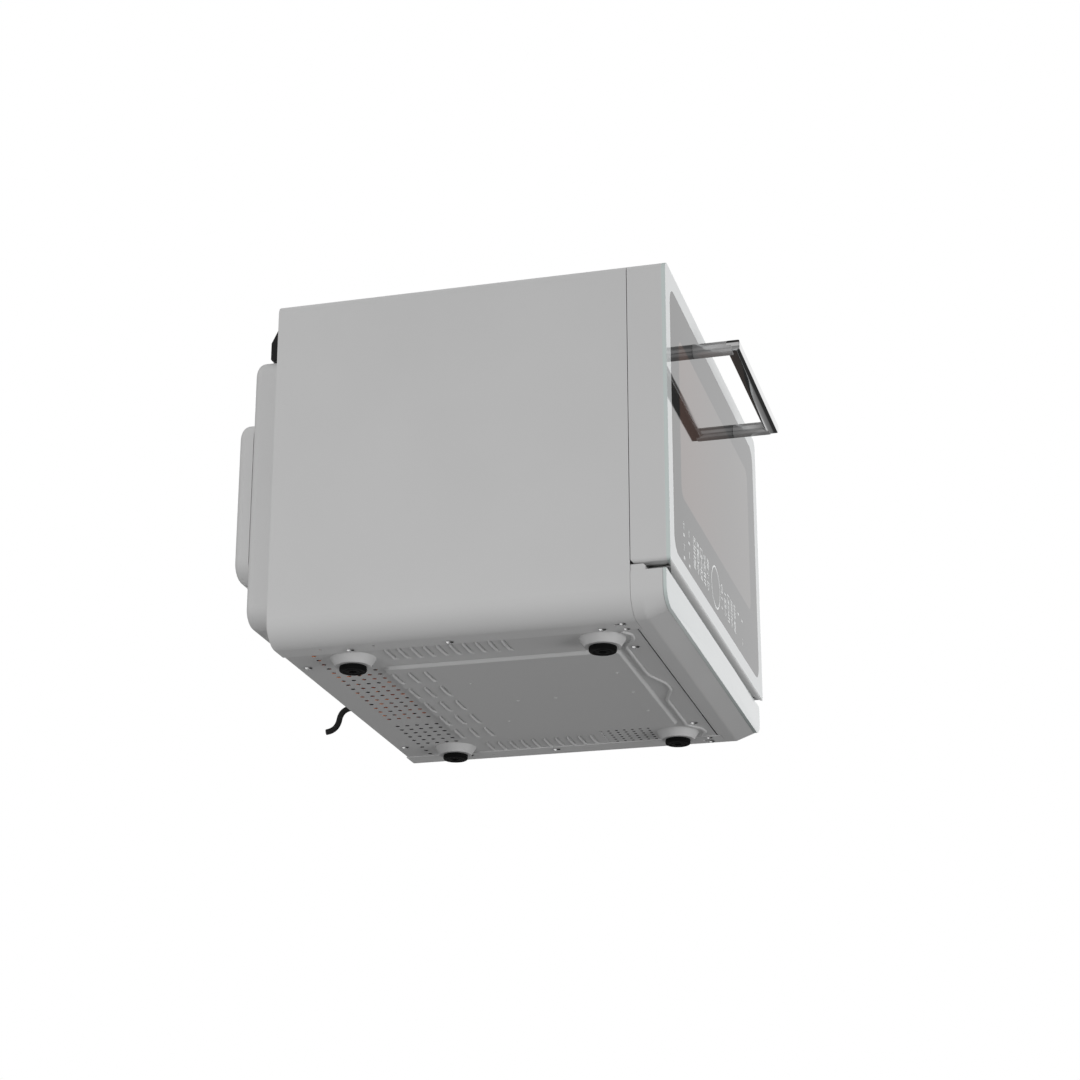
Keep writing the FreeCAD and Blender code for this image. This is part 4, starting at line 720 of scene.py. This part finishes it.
def tray_section(half, top, low, radius, lift):
    """Outline of the tray seen from the front, from one rim down and round to the other.

    Each lower corner is a quarter circle. The lift raises the bottom, and fades over the corner as
    the sine of its angle does; each value of the lift gives a row of heights."""
    angle = np.linspace(0.0, np.pi / 2, 15)
    side = np.concatenate([[0.0, 0.0], angle, [np.pi / 2] * 2])
    x = np.concatenate([[half] * 2, half - radius + radius * np.cos(angle), TRAY_FLAT])
    z = np.concatenate([[top, 0.5 * (top + low + radius)], low + radius - radius * np.sin(angle), [low] * 2])
    x = np.concatenate([-x, x[::-1]])
    z = np.concatenate([z, z[::-1]])
    fade = np.sin(np.concatenate([side, side[::-1]]))
    return x, z + np.asarray(lift)[:, None] * fade


def plate(x, z, near, far, edge):
    """A convex outline in x and z carried along y, its rims drawn in by a small bevel."""
    middle = (z.max() + z.min()) / 2
    drawn_in = 1.0 - edge / BEVEL_REACH
    shrink = np.array([0.0, drawn_in, 1.0, 1.0, drawn_in, 0.0])[:, None]
    y = np.array([near, near, near + edge, far - edge, far, far])[:, None]
    return np.stack(np.broadcast_arrays(x * shrink, y, middle + (z - middle) * shrink), -1)


def tray_shell():
    """The tray's sheet follows its section along y, rising over the nose, with an inner wall inside it."""
    half, top, bottom, near, far = tray_limits()
    fold = near + NOSE_LENGTH
    y = np.array([far, far - 1.0, fold + NOSE_FOLD, fold, fold - NOSE_FOLD, near])
    lift = NOSE_LIFT * np.clip((fold - y) / NOSE_LENGTH, 0.0, 1.0)
    x, z = tray_section(half, top, bottom, TRAY_RADIUS, lift)
    outer = np.stack(np.broadcast_arrays(x, y[:, None], z), -1)
    x, z = tray_section(half - TRAY_WALL, top, bottom + NOSE_LIFT + TRAY_WALL,
                        TRAY_RADIUS - TRAY_WALL, 0.0 * y)
    inner_y = np.clip(y, near + TRAY_WALL, far - TRAY_WALL)
    inner = np.stack(np.broadcast_arrays(x, inner_y[:, None], z), -1)
    rows = np.concatenate([outer, inner[::-1]])
    rims = (outer + inner) / 2
    rims = np.concatenate([rims, rims[::-1]])
    rows = np.concatenate([rims[:, :1], rows, rims[:, -1:]], 1)
    rows = np.concatenate([rows, rows[:1]]) * MM
    shell = mesh_piece("tray_shell", rows, grid_faces(len(rows), rows.shape[1], False), "drip_tray",
                       FINISH["tray_plastic"])
    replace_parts(smooth(shell, 35), "drip_tray")


def tray_walls():
    """Plates that close the tray's front and back, each a section of it a little inside the sheet."""
    half, top, bottom, near, far = tray_limits()
    walls = []
    for lift, start, end in ((NOSE_LIFT, near + WALL_SETBACK, near + TRAY_WALL),
                             (0.0, far - TRAY_WALL, far - WALL_SETBACK)):
        x, z = tray_section(half - WALL_INSET, top - WALL_INSET, bottom + WALL_INSET,
                            TRAY_RADIUS - WALL_INSET, [lift])
        walls.append(plate(x, z[0], start, end, WALL_INSET))
    faces = grid_faces(len(walls[0]), walls[0].shape[1], True)
    faces = np.concatenate([faces, faces + walls[0].size // 3])
    pieces = mesh_piece("tray_walls", np.concatenate(walls) * MM, faces, "drip_tray",
                        FINISH["tray_plastic"])
    smooth(pieces, 35)


def tray_pane():
    """The glass strip in front of the tray, with the outline that the tray has at its nose."""
    half, top, bottom = tray_limits()[:3]
    low, high = (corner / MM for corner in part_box("tray_front"))
    x, z = tray_section(half, top, bottom, TRAY_RADIUS, [NOSE_LIFT])
    points = plate(x, z[0], low.y, high.y, PANE_BEVEL) * MM
    pane = mesh_piece("tray_pane", points, grid_faces(len(points), points.shape[1], True), "drip_tray",
                      TRAY_GLASS)
    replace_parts(smooth(pane, 35), "tray_front")


# The heel's section, from the base plate's front edge and the tray's bottom, in mm
HEEL_FRONT = -5.6
HEEL_ROUND = -2.6
HEEL_RUN = 1.6
HEEL_BOTTOM = 0.1
HEEL_RISE = 2.2
HEEL_TOP = 4.0
HEEL_HALF = 200.0


def tray_heel():
    """A strip behind the tray, carried across the oven, with a quarter ellipse at its back lower edge."""
    plate_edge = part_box("base_plate")[0].y
    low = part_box("drip_tray")[0].z
    angle = np.linspace(0.0, np.pi / 2, 9)
    y = np.concatenate([[HEEL_FRONT], HEEL_ROUND + HEEL_RUN * np.sin(angle),
                        [HEEL_ROUND + HEEL_RUN, HEEL_FRONT]])
    z = np.concatenate([[HEEL_BOTTOM], HEEL_BOTTOM + HEEL_RISE * (1.0 - np.cos(angle)), [HEEL_TOP] * 2])
    y = y[None, :] * MM + plate_edge
    z = z[None, :] * MM + low
    x = np.array([[-1.0], [-1.0], [1.0], [1.0]]) * HEEL_HALF * MM
    shrink = np.array([[0.0], [1.0], [1.0], [0.0]])
    points = np.stack(np.broadcast_arrays(x, y.mean() + (y - y.mean()) * shrink,
                                          z.mean() + (z - z.mean()) * shrink), -1)
    strip = mesh_piece("tray_heel", points, grid_faces(4, y.shape[1], True), "drip_tray",
                       FINISH["tray_plastic"])
    smooth(strip, 50)


tray_shell()
tray_walls()
tray_pane()
tray_heel()


# Rounded rail under the door, from the lower front edge of its glass, in mm
RAIL_RUN = 9.0
RAIL_DROP = 3.6
RAIL_DEPTH = 14.0
RAIL_SUNK = 0.3
RAIL_SETBACK = 0.15
RAIL_END = 0.3
RAIL_SLANT = 5.0


def door_rail():
    """A strip under the door's front, rounded below by a quarter ellipse.

    Its ends run back obliquely, so that it stays in front of the hinge arms when the door opens."""
    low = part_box("door_glass_outer")[0] / MM
    angle = np.linspace(0.0, np.pi / 2, 11)
    inset = np.concatenate([RAIL_RUN * (1.0 - np.cos(angle)), [RAIL_DEPTH, RAIL_DEPTH, 0.0]])[:, None]
    drop = np.concatenate([RAIL_DROP * np.sin(angle), [RAIL_DROP, -RAIL_SUNK, -RAIL_SUNK]])[:, None]
    drop = drop - RAIL_SETBACK
    x = np.array([[-1.0, 1.0]]) * (-low.x - RAIL_END - RAIL_SLANT * inset)
    points = np.stack(np.broadcast_arrays(x, low.y + RAIL_SETBACK + inset, low.z - drop), -1)
    rows = np.concatenate([points, points[:1]])
    ends = np.broadcast_to(rows.mean(0), rows.shape)
    rows = np.concatenate([ends[:, :1], rows, ends[:, -1:]], 1) * MM
    rail = mesh_piece("door_rail", rows, grid_faces(len(rows), 4, False), "door",
                      FINISH["door_plastic"])
    smooth(rail, 40)


door_rail()


# Touch marks printed on the door's glass
def stroke(line, width):
    """A line of points on the pane widened to a flat band, half the width to each side."""
    line = np.asarray(line, float)
    along = np.gradient(line, axis=0)
    along /= np.linalg.norm(along, axis=1, keepdims=True)
    across = np.stack([-along[:, 1], along[:, 0]], -1) * width / 2
    return np.stack([line + across, line - across], 1).reshape(-1, 2), grid_faces(len(line), 2, False)


def arc(centre, radius, start=0.0, end=360.0, count=40):
    """Points of a circle's arc between two angles in degrees."""
    angle = np.radians(np.linspace(start, end, count))
    return np.stack([centre[0] + radius * np.cos(angle), centre[1] + radius * np.sin(angle)], -1)


def wave(height):
    """A level line that swings as a sine does."""
    share = np.linspace(-0.9, 0.9, 17)
    return np.stack([share, height + 0.16 * np.sin(share * 7.0)], -1)


# Signs as lines in a square of half side 1, then their places: sign, x, z, size and line width in mm
BOX = [(-0.9, -0.8), (0.9, -0.8), (0.9, 0.8), (-0.9, 0.8), (-0.9, -0.8)]
SIGNS = {
    "bars": [[(-0.9, z), (0.9, z)] for z in (0.7, 0.0, -0.7)],
    "waves": [wave(0.65), wave(0.0), wave(-0.65)],
    "clock": [arc((0, 0), 0.85), [(0, 0), (0, 0.55)], [(0, 0), (0.4, 0)]],
    "fan": [arc((0, 0), 0.2)] + [arc((0.45 * math.cos(t), 0.45 * math.sin(t)), 0.38, math.degrees(t) - 60,
                                     math.degrees(t) + 160, 14) for t in (0.5, 2.6, 4.7)],
    "grill": [BOX, [(-0.6, 0.45), (-0.3, 0.2), (0.0, 0.45), (0.3, 0.2), (0.6, 0.45)]],
    "bake": [BOX, [(-0.55, -0.45), (0.55, -0.45)]],
    "roast": [BOX, [(-0.55, 0.4), (0.55, 0.4)], [(-0.55, -0.45), (0.55, -0.45)]],
    "lamp": [arc((0, 0.2), 0.55, -60, 240), [(-0.25, -0.5), (0.25, -0.5)], [(-0.2, -0.8), (0.2, -0.8)]],
    "drop": [np.concatenate([arc((0, -0.25), 0.5, 150, 390, 24), [(0.0, 0.85)],
                             arc((0, -0.25), 0.5, 150, 150, 1)])],
    "plus": [[(-0.7, 0), (0.7, 0)], [(0, -0.7), (0, 0.7)]],
    "dash": [[(-0.8, 0), (0.8, 0)]],
    "stem": [[(0, -0.9), (0, 0.9)], [(-0.45, 0.45), (0, 0.9), (0.45, 0.45)]],
    "play": [[(-0.5, -0.7), (0.75, 0.0), (-0.5, 0.7), (-0.5, -0.7)]],
}
LEFT_ROWS = (("grill", "roast", "bake", "fan", "waves"), ("bars", "clock", "drop", "grill", "plus"),
             ("waves", "lamp", "roast", "bars", "fan"))
RIGHT_ROWS = (("clock", "dash", "bake", "waves", "bars"), ("dash", "roast", "fan", "bars", "grill"),
              ("dash", "play", "bars", "lamp", "waves"))
MARKS = [("stem", x, z, 4.4, 1.3) for x in (-183, -158) for z in (122.5, 100.0)]
MARKS += [("dash", x, z, 4.0, 2.4) for x in (-183, -158) for z in (112.5, 88.5)]
MARKS += [(sign, -131 + 17.2 * column, 123 - 11.5 * row, 5.6, 1.4)
          for row, signs in enumerate(LEFT_ROWS) for column, sign in enumerate(signs)]
MARKS += [(sign, 13 + 18.2 * column, 121 - 10.6 * row, 5.3, 1.3)
          for row, signs in enumerate(RIGHT_ROWS) for column, sign in enumerate(signs)]
MARKS += [("dash", 107, 123, 4.0, 2.0), ("dash", 130, 122, 4.0, 2.0), ("stem", 130, 98, 4.5, 0.8)]
RING_CENTRE = (-21.0, 111.5)
RING_RADIUS = 22.4
RING_WIDTH = 1.9
LINE_GAIN = 1.2
INK_GAP = 0.04


def touch_marks():
    """The panel's ring and plain signs, as flat bands just in front of the glass."""
    lines = [(arc(RING_CENTRE, RING_RADIUS, count=96), RING_WIDTH)]
    lines += [(np.asarray(line) * size + np.array([x, z]), LINE_GAIN * width)
              for sign, x, z, size, width in MARKS for line in SIGNS[sign]]
    bands = [stroke(line, width) for line, width in lines]
    starts = np.cumsum([0] + [len(points) for points, faces in bands[:-1]])
    flat = np.concatenate([points for points, faces in bands]) * MM
    faces = np.concatenate([faces + start for (points, faces), start in zip(bands, starts)])
    points = np.stack([flat[:, 0], np.full(len(flat), FRONT - INK_GAP * MM), flat[:, 1]], -1)
    mesh_piece("touch_marks", points, faces[:, ::-1], "door", PANEL_INK, closed=False)


touch_marks()


# Power lead: its place in m, and its route behind the rear panel and above the bench in mm
LEAD_X = 0.040
LEAD_EXIT_HEIGHT = 0.029
LEAD_RADIUS = 0.0032
LEAD_ROUTE = ((23, 29), (27.5, 4.5), (40, 3.45))


def power_lead():
    """A round lead on one smooth curve: out of the gland, down to the bench and along it."""
    exit_point = (LEAD_X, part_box("cord_gland")[1].y, LEAD_EXIT_HEIGHT)
    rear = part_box("rear_panel")[1].y
    route = [exit_point] + [(LEAD_X, rear + y * MM, z * MM) for y, z in LEAD_ROUTE]
    curve = bpy.data.curves.new("power_lead", "CURVE")
    curve.dimensions = "3D"
    spline = curve.splines.new("NURBS")
    spline.points.add(len(route) - 1)
    for point, place in zip(spline.points, route):
        point.co = (*place, 1.0)
    spline.order_u = 3
    spline.use_endpoint_u = True
    spline.resolution_u = 16
    curve.bevel_depth = LEAD_RADIUS
    curve.bevel_resolution = 6
    curve.use_fill_caps = True
    lead = bpy.data.objects.new("power_lead", curve)
    bpy.context.scene.collection.objects.link(lead)
    curve.materials.append(FINISH["cord_black"])
    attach(lead, "cabinet")
    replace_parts(lead, "power_cord")


power_lead()


# Camera at the photograph's place, a plain pale floor and the studio's light
CAMERA_PLACE = (-2.39713, -0.64857, -0.71308)
CAMERA_DIRECTION = (0.9077, 0.2432, 0.3420)
CAMERA_DEGREES = 25.0
FLOOR_HALF = 6.0
FLOOR_PALE = (0.86, 0.86, 0.86, 1.0)
# Softboxes: name, place, target, size and power
SOFTBOXES = (("side_softbox", (-2.65, 0.75, -0.5), (0.0, 0.0, 0.1), (1.6, 1.6), 24.0),
             ("front_softbox", (-0.6, -3.0, -0.75), (0.0, -0.2, 0.1), (2.2, 1.6), 43.0),
             ("top_softbox", (0.9, 0.2, 2.4), (0.0, 0.0, 0.3), (2.0, 2.0), 25.0),
             ("rear_softbox", (2.2, 1.9, 0.9), (0.0, 0.1, 0.2), (1.6, 1.6), 46.0))

# Diffuse light from below and what it gains above, then levels that mirrors see
LIGHT_BELOW = 0.13
LIGHT_GAIN = 0.49
DARK = 0.03
LEFT_BAND = 0.45
LEFT_REAR = 0.23
LEFT_REAR_ABOVE = 0.32
RIGHT_WHITE = 0.93
RIGHT_REAR_FALL = 0.84
CEILING_FALL = 0.96
FLOOR_LEFT = 0.27
FLOOR_BRIGHT = 0.8
# Where those levels change: shares of a direction to the right, to the rear, up or down
LIGHT_RANGE = (-0.4, 0.8)
RIGHT_RANGE = (-0.3, 0.3)
BAND_FOOT = (0.27, 0.33)
BAND_TOP = (0.40, 0.46)
BAND_BACK = (-0.12, 0.02)
LEFT_REAR_FOOT = (0.29, 0.36)
LEFT_REAR_RANGE = (-0.02, 0.22)
RIGHT_REAR_FOOT = (0.12, 0.26)
RIGHT_REAR_LEAN = 0.2
RIGHT_REAR_RANGE = (0.31, 0.40)
CEILING_RANGE = (0.45, 0.64)
BRIGHT_DEPTH = (0.22, 0.34)
BRIGHT_BACK = (0.12, 0.22)
FLOOR_RANGE = (0.01, 0.06)


def aimed(direction):
    """The turn that points a camera or lamp along a direction."""
    return Vector(direction).to_track_quat("-Z", "Y").to_euler()


def camera():
    """The photograph's view: from the front left, below the bench's level."""
    data = bpy.data.cameras.new("camera")
    data.sensor_fit = "HORIZONTAL"
    data.angle = math.radians(CAMERA_DEGREES)
    view = bpy.data.objects.new("camera", data)
    view.location = CAMERA_PLACE
    view.rotation_euler = aimed(CAMERA_DIRECTION)
    bpy.context.scene.collection.objects.link(view)
    bpy.context.scene.camera = view


def floor():
    """Pale floor that shows from above only, so that the oven can be seen from below."""
    material, shader = finish_named("pale_floor")
    seen = shader.node("ShaderNodeLightPath", None, None, "Is Camera Ray")
    under = shader.node("ShaderNodeNewGeometry", None, None, "Backfacing")
    clear = shader.node("ShaderNodeBsdfTransparent")
    pale = shader.node("ShaderNodeBsdfPrincipled", None, {"Base Color": FLOOR_PALE, "Roughness": 0.7})
    shade = shader.node("ShaderNodeMixShader", None, {0: seen * (1.0 - under), 1: clear, 2: pale})
    shader.node("ShaderNodeOutputMaterial", None, {"Surface": shade})
    corners = np.array([(-1, -1, 0), (1, -1, 0), (1, 1, 0), (-1, 1, 0)]) * FLOOR_HALF
    mesh = bpy.data.meshes.new("floor")
    mesh.from_pydata(corners.tolist(), [], [(0, 1, 2, 3)])
    plane = bpy.data.objects.new("floor", mesh)
    bpy.context.scene.collection.objects.link(plane)
    dress(plane, material)


def lamp(name, place, target, size, power):
    """A white rectangular softbox that mirrors don't show."""
    data = bpy.data.lights.new(name, "AREA")
    data.shape = "RECTANGLE"
    data.size, data.size_y = size
    data.energy = power
    light = bpy.data.objects.new(name, data)
    light.location = place
    light.rotation_euler = aimed(Vector(target) - Vector(place))
    light.visible_glossy = False
    bpy.context.scene.collection.objects.link(light)


def studio():
    """White surroundings, plain white where seen directly.

    Diffuse light grows stronger from below to above. Glossy rays see a white wall on the right that
    darkens towards the rear, a dark wall on the left with a pale band in front and a grey rear part,
    a dark ceiling, and a dim floor with a bright part at the right rear."""
    world = bpy.data.worlds.new("studio")
    bpy.context.scene.world = world
    world.use_nodes = True
    shader = Shader(world.node_tree)
    x, y, up = shader.place("Generated")
    light = LIGHT_BELOW + up.ramp(*LIGHT_RANGE) * LIGHT_GAIN
    right = x.ramp(*RIGHT_RANGE)
    band = up.ramp(*BAND_FOOT) * (1.0 - up.ramp(*BAND_TOP)) * (1.0 - y.ramp(*BAND_BACK))
    left_rear = LEFT_REAR + up.ramp(*LEFT_REAR_FOOT) * LEFT_REAR_ABOVE
    left_wall = DARK + band * LEFT_BAND + y.ramp(*LEFT_REAR_RANGE) * left_rear
    right_rear = (y + up.ramp(*RIGHT_REAR_FOOT) * RIGHT_REAR_LEAN).ramp(*RIGHT_REAR_RANGE)
    right_wall = RIGHT_WHITE - right_rear * RIGHT_REAR_FALL
    wall = (left_wall + right * (right_wall - left_wall)) * (1.0 - up.ramp(*CEILING_RANGE) * CEILING_FALL)
    bright = (-up).ramp(*BRIGHT_DEPTH) * y.ramp(*BRIGHT_BACK) * FLOOR_BRIGHT
    ground = FLOOR_LEFT * (1.0 - right) + right * (DARK + bright)
    low = (-up).ramp(*FLOOR_RANGE)
    mirror = wall * (1.0 - low) + ground * low
    path = {kind: shader.node("ShaderNodeLightPath", None, None, kind)
            for kind in ("Is Camera Ray", "Is Glossy Ray", "Is Transmission Ray")}
    glossy = path["Is Glossy Ray"]
    direct = path["Is Camera Ray"].above(path["Is Transmission Ray"])
    level = light * (1.0 - glossy) + mirror * glossy
    level = level * (1.0 - direct) + direct
    back = shader.node("ShaderNodeBackground", None, {"Color": colour(1.0), "Strength": level})
    shader.node("ShaderNodeOutputWorld", None, {"Surface": back})
    for softbox in SOFTBOXES:
        lamp(*softbox)
    bpy.context.scene.view_settings.view_transform = "Standard"


camera()
floor()
studio()
